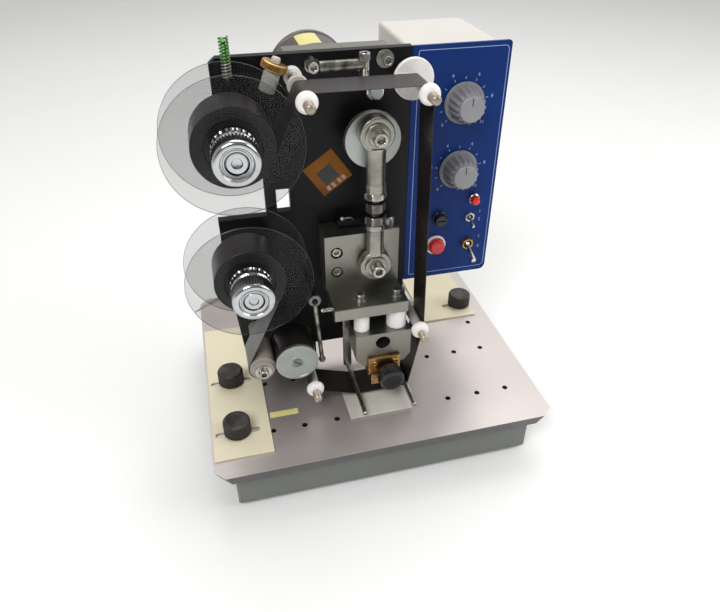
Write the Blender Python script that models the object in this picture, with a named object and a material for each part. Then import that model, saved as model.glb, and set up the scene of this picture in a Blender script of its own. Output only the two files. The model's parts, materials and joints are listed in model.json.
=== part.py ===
"""Ribbon date coder: base, upright plate, printing head, ribbon path and control box."""

import math

import bmesh
import bpy
from mathutils import Matrix, Vector

MM = 0.001
GAP = 0.3
RUN = 0.4

# Base
BASE_W = 350.0
BASE_D = 300.0
BASE_TOP = 64.0
BASE_INSET_X = 18.0
BASE_INSET_Y = 15.0
LIP = 15.0
LIP_TAPER = 5.0
CORNER = 10.6
SHEET = 2.0
FOOT_H = 4.0
FOOT_R = 10.0

# Reels, which stay clear of each other and of the first post
POST_TL = (-57.8, 388.0)
POST_ROOM = 10.34
REEL_R = 57.0
REEL_MIDDLE = 292.0
TAKEUP_Z = REEL_MIDDLE - 6 - REEL_R
SUPPLY_Z = REEL_MIDDLE + 6 + REEL_R
REEL_X = round(POST_TL[0] - math.sqrt((REEL_R + POST_ROOM) ** 2 - (POST_TL[1] - SUPPLY_Z) ** 2), 1)
REEL_T = 1.5
SUPPLY_ROLL_R = 33.5
TAKEUP_ROLL_R = 32.0
REEL_SHAFT_R = 8.0
SPINDLE_R = 7.0
REEL_NUT_R = 18.7

# Upright plate
PLATE_TOP = 405.5
PLATE_FRONT = -5.0
PLATE_BACK = 4.0
PLATE_RIGHT = 50.0
PLATE_LEFT = REEL_X - 9.5
LOBE_LEFT = REEL_X - 20.1
LOBE_TOP = 257.0
NECK_LEFT = -90.5
LOBE_UNDER = 318.0

# Ribbon
RIBBON_BACK = -40.0
RIBBON_FRONT = -75.0
RIBBON_T = 0.4

# Ribbon rollers and posts: x, z
POST_TR = (41.3, 387.0)
POST_BL = (-64.5, 91.5)
POST_BR = (45.8, 147.5)
POST_R = 5.0
POST_NUT_R = 9.0
FEED = (-80.8, 130.5)
FEED_R = 19.6
FEED_FLANGE_R = FEED_R + 1.7
PINCH_R = 13.3
NIP = 1.1
PINCH = (FEED[0] - FEED_R - PINCH_R - NIP, FEED[1] - 3.5)

# Head
HEAD_X = 7.5
CRANK_R = 10.0
CRANK_Z = 334.0
CRANK_DISC_R = 26.0
CRANK_SHAFT_R = 8.0
WRIST_Z = 210.5
ROD_FRONT = -48.0
ROD_BACK = -37.0
EYE_R = 16.0
ROD_FLAT = 0.8
CARRIAGE_L = -41.0
CARRIAGE_R = 34.0
CARRIAGE_FRONT = -35.0
FLANGE_FRONT = -75.0
FLANGE_BOTTOM = 170.0
FLANGE_TOP = 183.0
BLOCK_L = -20.0
BLOCK_R = 38.0
BLOCK_BOTTOM = 107.5
BLOCK_TOP = 147.0
STRIPPER_Z = 73.6
STRIPPER_R = 2.5
STRIPPER_X = (-19.0, 34.0)

# Control box
BOX_L = 45.3
BOX_R = 136.0
BOX_BACK = 93.0
BOX_BOTTOM = 164.0
PANEL_R = 145.5
PANEL_T = 3.0
BOX_WALL = 1.6
DIAL_X = 102.8
DIAL_Z = (351.5, 284.5)

# Guides and their thumb knobs
KNOB_R = 13.6
KNOB_TOP = 84.0
LEFT_KNOB_X = 27.0 - BASE_W / 2
LEFT_KNOBS = ((LEFT_KNOB_X, -19.0), (LEFT_KNOB_X, -95.0))
RIGHT_KNOB = (BASE_W / 2 - 28.0, 56.0)
GUIDE_T = 2.0
STUD_R = 3.0

SEG = 20
SEG_FINE = 28
SEG_SMALL = 12

AXES = {
    "x": Matrix(((0, 0, 1), (1, 0, 0), (0, 1, 0))),
    "y": Matrix(((0, 1, 0), (0, 0, 1), (1, 0, 0))),
    "z": Matrix(((1, 0, 0), (0, 1, 0), (0, 0, 1))),
}

COLOURS = {
    "grey_paint": ((0.30, 0.31, 0.32, 1), 0.0, 0.45),
    "brushed": ((0.62, 0.62, 0.63, 1), 1.0, 0.35),
    "black_paint": ((0.02, 0.02, 0.025, 1), 0.0, 0.4),
    "cream_paint": ((0.78, 0.76, 0.66, 1), 0.0, 0.45),
    "blue_paint": ((0.03, 0.09, 0.42, 1), 0.0, 0.4),
    "steel": ((0.55, 0.55, 0.56, 1), 1.0, 0.3),
    "chrome": ((0.8, 0.8, 0.8, 1), 1.0, 0.12),
    "alu": ((0.72, 0.73, 0.74, 1), 1.0, 0.35),
    "brass": ((0.78, 0.55, 0.25, 1), 1.0, 0.3),
    "rubber": ((0.03, 0.03, 0.03, 1), 0.0, 0.8),
    "nylon": ((0.85, 0.85, 0.83, 1), 0.0, 0.5),
    "clear": ((0.8, 0.85, 0.88, 0.35), 0.0, 0.1),
    "foil": ((0.04, 0.04, 0.05, 1), 0.0, 0.25),
    "grey_knob": ((0.35, 0.35, 0.36, 1), 0.0, 0.5),
    "red": ((0.6, 0.03, 0.03, 1), 0.0, 0.3),
    "board": ((0.03, 0.22, 0.10, 1), 0.0, 0.5),
    "spring_green": ((0.15, 0.4, 0.12, 1), 0.0, 0.4),
}


def clear_scene():
    for obj in list(bpy.data.objects):
        bpy.data.objects.remove(obj, do_unlink=True)


def material(name, look):
    made = bpy.data.materials.new(name)
    made.use_nodes = True
    shader = made.node_tree.nodes["Principled BSDF"]
    colour, metal, rough = COLOURS[look]
    shader.inputs["Base Color"].default_value = colour
    shader.inputs["Metallic"].default_value = metal
    shader.inputs["Roughness"].default_value = rough
    shader.inputs["Alpha"].default_value = colour[3]
    made.diffuse_color = colour
    return made


def box(x0, x1, y0, y1, z0, z1, bevel=0.0):
    """A box between two corners, with its edges chamfered by bevel."""
    bm = bmesh.new()
    bmesh.ops.create_cube(bm, size=1.0)
    for vert in bm.verts:
        vert.co.x = x1 if vert.co.x > 0 else x0
        vert.co.y = y1 if vert.co.y > 0 else y0
        vert.co.z = z1 if vert.co.z > 0 else z0
    if bevel:
        bmesh.ops.bevel(
            bm,
            geom=list(bm.edges),
            offset=bevel,
            offset_type="OFFSET",
            segments=1,
            profile=0.5,
            affect="EDGES",
        )
    return bm


def lathe(axis, centre, profile, seg=SEG):
    """Turns a profile of (radius, height) about an axis; a ring if it never meets the axis."""
    bm = bmesh.new()
    turn = AXES[axis]
    rows = []
    for radius, height in profile:
        if radius == 0:
            rows.append([bm.verts.new(turn @ Vector((0, 0, height)))])
            continue
        row = []
        for step in range(seg):
            angle = 2 * math.pi * step / seg
            spot = Vector((radius * math.cos(angle), radius * math.sin(angle), height))
            row.append(bm.verts.new(turn @ spot))
        rows.append(row)
    pairs = list(zip(rows, rows[1:]))
    if profile[0][0] and profile[-1][0]:
        pairs.append((rows[-1], rows[0]))
    for low, high in pairs:
        for step in range(seg):
            after = (step + 1) % seg
            if len(low) == 1:
                bm.faces.new((low[0], high[step], high[after]))
            elif len(high) == 1:
                bm.faces.new((low[step], low[after], high[0]))
            else:
                bm.faces.new((low[step], low[after], high[after], high[step]))
    bmesh.ops.recalc_face_normals(bm, faces=bm.faces)
    bmesh.ops.translate(bm, verts=bm.verts, vec=Vector(centre))
    return bm


def cylinder(axis, centre, radius, low, high, seg=SEG, chamfer=0.0):
    """A cylinder along an axis between two heights measured in that axis."""
    flat = {"x": (0, centre[0], centre[1]), "y": (centre[0], 0, centre[1])}
    where = flat.get(axis, (centre[0], centre[1], 0))
    rim = [(radius, low), (radius, high)]
    if chamfer:
        rim = [
            (radius - chamfer, low),
            (radius, low + chamfer),
            (radius, high - chamfer),
            (radius - chamfer, high),
        ]
    return lathe(axis, where, [(0, low)] + rim + [(0, high)], seg)


def prism(axis, points, low, high):
    """Extrudes an outline: (x, z) points along y, or (x, y) points along z, or (y, z) along x."""
    bm = bmesh.new()
    ends = []
    for height in (low, high):
        row = []
        for a, b in points:
            spot = {"y": (a, height, b), "z": (a, b, height), "x": (height, a, b)}[axis]
            row.append(bm.verts.new(spot))
        ends.append(row)
    bm.faces.new(ends[0])
    bm.faces.new(ends[1])
    count = len(points)
    for step in range(count):
        after = (step + 1) % count
        bm.faces.new((ends[0][step], ends[0][after], ends[1][after], ends[1][step]))
    bmesh.ops.recalc_face_normals(bm, faces=bm.faces)
    return bm


def frustum(low_points, low, high_points, high):
    """A solid between two outlines of equal count, at two heights."""
    bm = bmesh.new()
    bottom = [bm.verts.new((x, y, low)) for x, y in low_points]
    top = [bm.verts.new((x, y, high)) for x, y in high_points]
    bm.faces.new(bottom)
    bm.faces.new(top)
    count = len(bottom)
    for step in range(count):
        after = (step + 1) % count
        bm.faces.new((bottom[step], bottom[after], top[after], top[step]))
    bmesh.ops.recalc_face_normals(bm, faces=bm.faces)
    return bm


def tube_path(points, radius, sides=10):
    """A round bar that follows a line of points."""
    bm = bmesh.new()
    rows = []
    up = Vector((0.13, 0.21, 0.97)).normalized()
    count = len(points)
    for index, here in enumerate(points):
        before = Vector(points[max(index - 1, 0)])
        after = Vector(points[min(index + 1, count - 1)])
        along = (after - before).normalized()
        side = along.cross(up).normalized()
        lift = side.cross(along)
        row = []
        for step in range(sides):
            angle = 2 * math.pi * step / sides
            offset = side * math.cos(angle) + lift * math.sin(angle)
            row.append(bm.verts.new(Vector(here) + offset * radius))
        rows.append(row)
    for low, high in zip(rows, rows[1:]):
        for step in range(sides):
            after = (step + 1) % sides
            bm.faces.new((low[step], low[after], high[after], high[step]))
    bm.faces.new(rows[0])
    bm.faces.new(rows[-1])
    bmesh.ops.recalc_face_normals(bm, faces=bm.faces)
    return bm


def raw_object(name, bm, origin=(0, 0, 0)):
    bmesh.ops.translate(bm, verts=bm.verts, vec=-Vector(origin))
    bmesh.ops.scale(bm, verts=bm.verts, vec=(MM, MM, MM))
    mesh = bpy.data.meshes.new(name)
    bm.to_mesh(mesh)
    bm.free()
    made = bpy.data.objects.new(name, mesh)
    made.location = Vector(origin) * MM
    bpy.context.scene.collection.objects.link(made)
    return made


def smooth_round(made):
    for face in made.data.polygons:
        face.use_smooth = True
    made.data.set_sharp_from_angle(angle=math.radians(35))


def solid(name, look, body, add=(), cut=(), origin=(0, 0, 0), tilt=None):
    """One named sub-part: a body with pieces added to it and pieces cut from it."""
    made = raw_object(name, body, origin)
    made.data.materials.append(material(name, look))
    jobs = [("UNION", piece) for piece in add] + [("DIFFERENCE", piece) for piece in cut]
    for index, (job, piece) in enumerate(jobs):
        helper = raw_object("helper_%s_%02d" % (name, index), piece, origin)
        helper.hide_render = True
        helper.display_type = "WIRE"
        change = made.modifiers.new("%s_%02d" % (job.lower(), index), "BOOLEAN")
        change.operation = job
        change.solver = "EXACT"
        change.object = helper
        if tilt:
            helper.rotation_euler = tilt
    if tilt:
        made.rotation_euler = tilt
    smooth_round(made)
    return made


def chamfered(half_x, half_y, corner):
    return [
        (-half_x + corner, -half_y),
        (half_x - corner, -half_y),
        (half_x, -half_y + corner),
        (half_x, half_y - corner),
        (half_x - corner, half_y),
        (-half_x + corner, half_y),
        (-half_x, half_y - corner),
        (-half_x, -half_y + corner),
    ]


def slot_cut(x0, x1, y, radius, z0, z1):
    """A slot along x with round ends."""
    points = []
    for step in range(9):
        angle = math.pi / 2 + math.pi * step / 8
        points.append((x0 + radius + radius * math.cos(angle), y + radius * math.sin(angle)))
    for step in range(9):
        angle = -math.pi / 2 + math.pi * step / 8
        points.append((x1 - radius + radius * math.cos(angle), y + radius * math.sin(angle)))
    return prism("z", points, z0, z1)


def build_base():
    half_x = BASE_W / 2
    half_y = BASE_D / 2
    lip_bottom = BASE_TOP - LIP
    low = chamfered(half_x - LIP_TAPER, half_y - LIP_TAPER, CORNER)
    high = chamfered(half_x, half_y, CORNER)
    inner_low = chamfered(
        half_x - LIP_TAPER - SHEET - 0.7, half_y - LIP_TAPER - SHEET - 0.7, CORNER
    )
    inner_high = chamfered(half_x - SHEET, half_y - SHEET, CORNER)
    skin = 3.0
    holes = []
    for x in (-113.0, -81.0, -47.0, 75.0, 108.5, 141.5):
        for y in (-100.0, -29.5):
            holes.append(cylinder("z", (x, y), 3.0, BASE_TOP - 6, BASE_TOP + 2, 10))
    holes.append(cylinder("z", (146.0, 20.0), 3.0, BASE_TOP - 6, BASE_TOP + 2, 10))
    for spot in LEFT_KNOBS + (RIGHT_KNOB,):
        holes.append(cylinder("z", spot, STUD_R + RUN, BASE_TOP - 6, BASE_TOP + 2, 10))
    cavity = frustum(inner_low, lip_bottom - 1, inner_high, BASE_TOP - skin)
    solid(
        "base_top",
        "brushed",
        frustum(low, lip_bottom, high, BASE_TOP),
        cut=[cavity] + holes,
    )
    out_x = half_x - BASE_INSET_X
    out_y = half_y - BASE_INSET_Y
    floor = FOOT_H + 2.0
    wall_top = BASE_TOP - skin - GAP
    solid(
        "base_box",
        "grey_paint",
        prism("z", chamfered(out_x, out_y, 2.0), floor, wall_top),
        cut=[
            box(
                -out_x + SHEET,
                out_x - SHEET,
                -out_y + SHEET,
                out_y - SHEET,
                floor + SHEET,
                wall_top + 1,
            ),
            box(-out_x + 12, out_x - 12, -out_y + 12, out_y - 12, floor - 1, floor + 4),
        ],
    )
    solid(
        "bottom_cover",
        "grey_paint",
        box(-out_x + 4, out_x - 4, -out_y + 4, out_y - 4, FOOT_H + GAP, floor - GAP),
    )
    for name, sx, sy in (("fl", -1, -1), ("fr", 1, -1), ("bl", -1, 1), ("br", 1, 1)):
        spot = (sx * (out_x - 26), sy * (out_y - 26))
        solid(
            "foot_" + name,
            "rubber",
            cylinder("z", spot, FOOT_R, 0, FOOT_H, 16, 0.8),
        )
    solid(
        "transformer",
        "steel",
        box(40, 104, 30, 84, floor + 0.1, floor + 9, 0.5),
        add=[
            box(44, 100, 38, 76, floor + 8, floor + 44, 1.5),
            box(56, 88, 28, 86, floor + 16, floor + 38, 3.0),
        ],
    )
    solid(
        "anvil_pad",
        "nylon",
        box(-33.5, 33, -105, -30, BASE_TOP + GAP, BASE_TOP + 1.9, 0.4),
    )


def build_guides():
    z0 = BASE_TOP + GAP
    z1 = z0 + GUIDE_T
    cuts = []
    for x, y in LEFT_KNOBS:
        cuts.append(slot_cut(x - 22, x + 22, y, STUD_R + RUN, z0 - 1, z1 + 1))
    solid(
        "guide_left",
        "cream_paint",
        box(LEFT_KNOB_X - 25, LEFT_KNOB_X + 32.5, -128, 78, z0, z1),
        cut=cuts,
        origin=(LEFT_KNOB_X + 4, -25, z1),
    )
    x, y = RIGHT_KNOB
    solid(
        "guide_right",
        "cream_paint",
        box(x - 54, x + 13.5, y - 24, y + 76, z0, z1),
        cut=[slot_cut(x - 22, x + 9, y, STUD_R + RUN, z0 - 1, z1 + 1)],
        origin=(x, y, z1),
    )
    spots = LEFT_KNOBS + (RIGHT_KNOB,)
    for index, (x, y) in enumerate(spots):
        under = z1 + GAP
        profile = [
            (0, BASE_TOP - 5),
            (STUD_R, BASE_TOP - 5),
            (STUD_R, under),
            (KNOB_R - 2, under),
            (KNOB_R, under + 2),
            (KNOB_R, KNOB_TOP - 2),
            (KNOB_R - 2.4, KNOB_TOP),
            (0, KNOB_TOP),
        ]
        solid(
            "guide_knob_%d" % (index + 1),
            "rubber",
            lathe("z", (x, y, 0), profile, 16),
            origin=(x, y, under),
        )


def build_plate():
    z0 = BASE_TOP + GAP
    outline = [
        (-95.0, BASE_TOP + 4.5),
        (-95.0, z0),
        (-50.0, z0),
        (-50.0, 92.0),
        (30.0, 92.0),
        (30.0, z0),
        (PLATE_RIGHT, z0),
        (PLATE_RIGHT, PLATE_TOP),
        (PLATE_LEFT + 6, PLATE_TOP),
        (PLATE_LEFT, PLATE_TOP - 5),
        (PLATE_LEFT, LOBE_UNDER),
        (NECK_LEFT, LOBE_UNDER),
        (NECK_LEFT, LOBE_TOP),
        (LOBE_LEFT, LOBE_TOP),
        (LOBE_LEFT, LOBE_TOP - 60),
        (PLATE_LEFT, BASE_TOP + 4.5),
    ]
    body = prism("y", outline, PLATE_FRONT, PLATE_BACK)
    front = PLATE_FRONT
    inside = front + 1
    add = [
        box(HEAD_X - 20, HEAD_X + 20, -14, inside, 122, 243),
        box(-25, 2, -22, inside, 244.3, 251.3),
        lathe(
            "y",
            (HEAD_X, 0, CRANK_Z),
            [(11.4, -24), (18, -24), (18, inside), (11.4, inside)],
            SEG,
        ),
        cylinder("y", (-58.0, 192.0), 2.6, -68, inside, 16),
        box(-118, -106, -16, inside, 384, 389, 0.5),
        box(-84, -76, -9.4, inside, 380, 391),
        cylinder("z", (-112.0, -10.5), 1.7, 388, 419, 12),
    ]
    bore = [
        cylinder("y", (HEAD_X, CRANK_Z), CRANK_SHAFT_R + RUN, front - 2, PLATE_BACK + 2, SEG),
        cylinder("y", (REEL_X, TAKEUP_Z), SPINDLE_R + RUN, front - 2, PLATE_BACK + 2, 24),
        cylinder("y", (REEL_X, SUPPLY_Z), SPINDLE_R + RUN, front - 2, PLATE_BACK + 2, 24),
        cylinder("y", FEED, 5.4, front - 2, PLATE_BACK + 2, 20),
        cylinder("y", PINCH, 4.4, front - 2, PLATE_BACK + 2, 20),
        box(-80, -67, front - 2, PLATE_BACK + 2, 259.5, 283),
    ]
    solid("faceplate", "black_paint", body, add=add, cut=bore)
    solid(
        "plate_bracket",
        "steel",
        prism(
            "x",
            [
                (PLATE_BACK + GAP, z0),
                (52, z0),
                (52, z0 + 5),
                (18, z0 + 5),
                (PLATE_BACK + GAP + 5, z0 + 46),
                (PLATE_BACK + GAP, z0 + 46),
            ],
            -92,
            -54,
        ),
    )


def build_box():
    front = PLATE_BACK + GAP
    wall = BOX_WALL
    inner_left = PLATE_RIGHT + GAP
    shell = box(BOX_L, BOX_R, front, BOX_BACK, BOX_BOTTOM, PLATE_TOP, 2.5)
    nose = box(inner_left, BOX_R, PLATE_FRONT + PANEL_T + GAP, 20, BOX_BOTTOM, PLATE_TOP)
    hollow = box(
        BOX_L + wall,
        BOX_R - wall,
        front + wall,
        BOX_BACK - wall,
        BOX_BOTTOM + wall,
        PLATE_TOP - wall,
    )
    mouth = box(
        inner_left + wall,
        BOX_R - wall,
        front - 12,
        front + 12,
        BOX_BOTTOM + wall,
        PLATE_TOP - wall,
    )
    vents = []
    for index in range(6):
        z = 300 + index * 12
        vents.append(box(60, 120, BOX_BACK - 4, BOX_BACK + 4, z, z + 4.6))
    inlet_hole = box(75.7, 104.3, BOX_BACK - 4, BOX_BACK + 4, 189.7, 212.3)
    solid(
        "control_box",
        "cream_paint",
        shell,
        add=[nose],
        cut=[hollow, mouth, inlet_hole] + vents,
    )
    solid(
        "power_inlet",
        "rubber",
        box(71, 109, BOX_BACK + GAP, BOX_BACK + 3.3, 184, 218, 0.6),
        add=[box(76, 104, BOX_BACK - 16, BOX_BACK + 1, 190, 212)],
        cut=[box(79, 101, BOX_BACK - 12, BOX_BACK + 6, 193, 209)],
    )
    back = BOX_BACK - wall - GAP
    solid(
        "circuit_board",
        "board",
        box(58, 128, 62, 64, 228, 388),
        add=[
            box(64, 92, 44, 63, 250, 276, 1.0),
            box(100, 122, 48, 63, 300, 336, 1.0),
            box(66, 84, 52, 63, 340, 372, 1.0),
            cylinder("y", (64, 234), 3, 63, back, 12),
            cylinder("y", (122, 234), 3, 63, back, 12),
            cylinder("y", (64, 382), 3, 63, back, 12),
            cylinder("y", (122, 382), 3, 63, back, 12),
        ],
    )


def panel_bush(x, z, radius, bore, height):
    front = PLATE_FRONT
    return lathe(
        "y",
        (x, 0, z),
        [(bore, front - height), (radius, front - height), (radius, front + 1), (bore, front + 1)],
        6 if radius > 5 and radius < 8 else SEG_SMALL,
    )


def build_panel():
    front = PLATE_FRONT
    back = front + PANEL_T
    inner_left = PLATE_RIGHT + GAP
    corner = 7.0
    outline = [
        (inner_left, BOX_BOTTOM - 4),
        (PANEL_R - corner, BOX_BOTTOM - 4),
        (PANEL_R - corner * 0.3, BOX_BOTTOM - 4 + corner * 0.3),
        (PANEL_R, BOX_BOTTOM - 4 + corner),
        (PANEL_R, PLATE_TOP - 2),
        (PANEL_R - 2, PLATE_TOP),
        (inner_left, PLATE_TOP),
    ]
    solid(
        "control_panel",
        "blue_paint",
        prism("y", outline, front, back),
        add=[
            panel_bush(121.0, 197.0, 7.2, 4.6, 4.0),
            panel_bush(120.8, 229.0, 4.6, 3.2, 3.0),
            panel_bush(84.5, 200.0, 11.0, 9.0, 3.0),
        ],
        cut=[
            cylinder("y", (121.0, 197.0), 4.6, front - 3.4, front + 1.5, SEG_SMALL),
            cylinder("y", (120.8, 229.0), 3.2, front - 2.4, front + 1.5, SEG_SMALL),
            cylinder("y", (84.5, 200.0), 9.0, front - 2.4, front + 2.2, SEG_SMALL),
        ],
    )
    for index, z in enumerate(DIAL_Z):
        low = front - GAP
        profile = [
            (0, low),
            (20, low),
            (20, low - 2.4),
            (17.6, low - 3.4),
            (15.6, low - 17),
            (13.4, low - 19.6),
            (11.4, low - 21.2),
            (0, low - 21.2),
        ]
        solid(
            "dial_upper" if index == 0 else "dial_lower",
            "grey_knob",
            lathe("y", (DIAL_X, 0, z), profile, 20),
            origin=(DIAL_X, low, z),
        )
    low = front - GAP
    solid(
        "lamp",
        "red",
        lathe(
            "y",
            (123.5, 0, 249.5),
            [(0, low), (6.2, low), (6.2, low - 2.2), (4.6, low - 3), (4.2, low - 7), (0, low - 8.6)],
            SEG_SMALL,
        ),
    )
    solid(
        "fuse_holder",
        "rubber",
        lathe(
            "y",
            (86.8, 0, 231.5),
            [(0, low), (7.9, low), (7.9, low - 2), (6.6, low - 3), (6.2, low - 8), (0, low - 8)],
            24,
        ),
    )
    button_back = front - 0.8
    solid(
        "push_button",
        "red",
        lathe(
            "y",
            (84.5, 0, 200.0),
            [
                (0, button_back),
                (8.5, button_back),
                (8.5, front - 7.6),
                (7.4, front - 8.6),
                (0, front - 9.2),
            ],
            28,
        ),
        origin=(84.5, front - 4, 200.0),
    )
    lever = [(0, 0.9), (2.9, 0.4), (3.4, -1.4), (2.0, -4.2), (2.2, -12), (3.0, -23), (2.2, -25), (0, -25.4)]
    solid(
        "toggle_main",
        "chrome",
        lathe("y", (121.0, front - 0.5, 197.0), lever, 16),
        origin=(121.0, front - 0.5, 197.0),
        tilt=(math.radians(24), 0, 0),
    )
    small = [(0, 0.7), (1.9, 0.3), (2.2, -0.9), (1.3, -3), (1.5, -10), (1.9, -14), (0, -15)]
    solid(
        "toggle_mini",
        "chrome",
        lathe("y", (120.8, front - 0.3, 229.0), small, 14),
        origin=(120.8, front - 0.3, 229.0),
        tilt=(math.radians(24), 0, 0),
    )


def build_drive():
    back = PLATE_BACK + GAP
    solid(
        "gearbox",
        "alu",
        box(-64, 38, back, 38, 312, 402, 3.0),
        cut=[cylinder("y", (HEAD_X, CRANK_Z), CRANK_SHAFT_R + RUN, back - 1, 31, SEG)],
    )
    start = 38 + GAP
    profile = [
        (0, start),
        (40, start),
        (40, start + 6),
        (38.6, start + 7),
        (38.6, 90),
        (40, 91),
        (40, 97),
        (37, 100),
        (0, 100),
    ]
    solid("gear_motor", "black_paint", lathe("y", (-27.0, 0, 361.0), profile, SEG_FINE))
    disc = [
        (0, 29),
        (CRANK_SHAFT_R, 29),
        (CRANK_SHAFT_R, PLATE_FRONT - 0.6),
        (11, PLATE_FRONT - 0.6),
        (11, -26),
        (CRANK_DISC_R - 1, -26),
        (CRANK_DISC_R, -27),
        (CRANK_DISC_R, -32),
        (CRANK_DISC_R - 1, -33),
        (0, -33),
    ]
    solid(
        "crank_disc",
        "steel",
        lathe("y", (HEAD_X, 0, CRANK_Z), disc, SEG_FINE),
        origin=(HEAD_X, -33, CRANK_Z),
    )


def eye_pin(name, z, back):
    """The ball, washer and cap screw that hold one eye of the connecting rod."""
    profile = [
        (0, back),
        (9, back),
        (9, ROD_BACK + GAP),
        (7.4, ROD_BACK + GAP),
        (7.4, ROD_FRONT - GAP),
        (11.2, ROD_FRONT - GAP),
        (10.4, ROD_FRONT - 3.4),
        (6.8, ROD_FRONT - 3.4),
        (6.8, ROD_FRONT - 11),
        (6.2, ROD_FRONT - 11.8),
        (0, ROD_FRONT - 11.8),
    ]
    socket = cylinder("y", (HEAD_X, z), 3.5, ROD_FRONT - 14, ROD_FRONT - 7.5, 6)
    solid(
        name,
        "steel",
        lathe("y", (HEAD_X, 0, z), profile, 20),
        cut=[socket],
        origin=(HEAD_X, (ROD_FRONT + ROD_BACK) / 2, z),
    )


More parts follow.
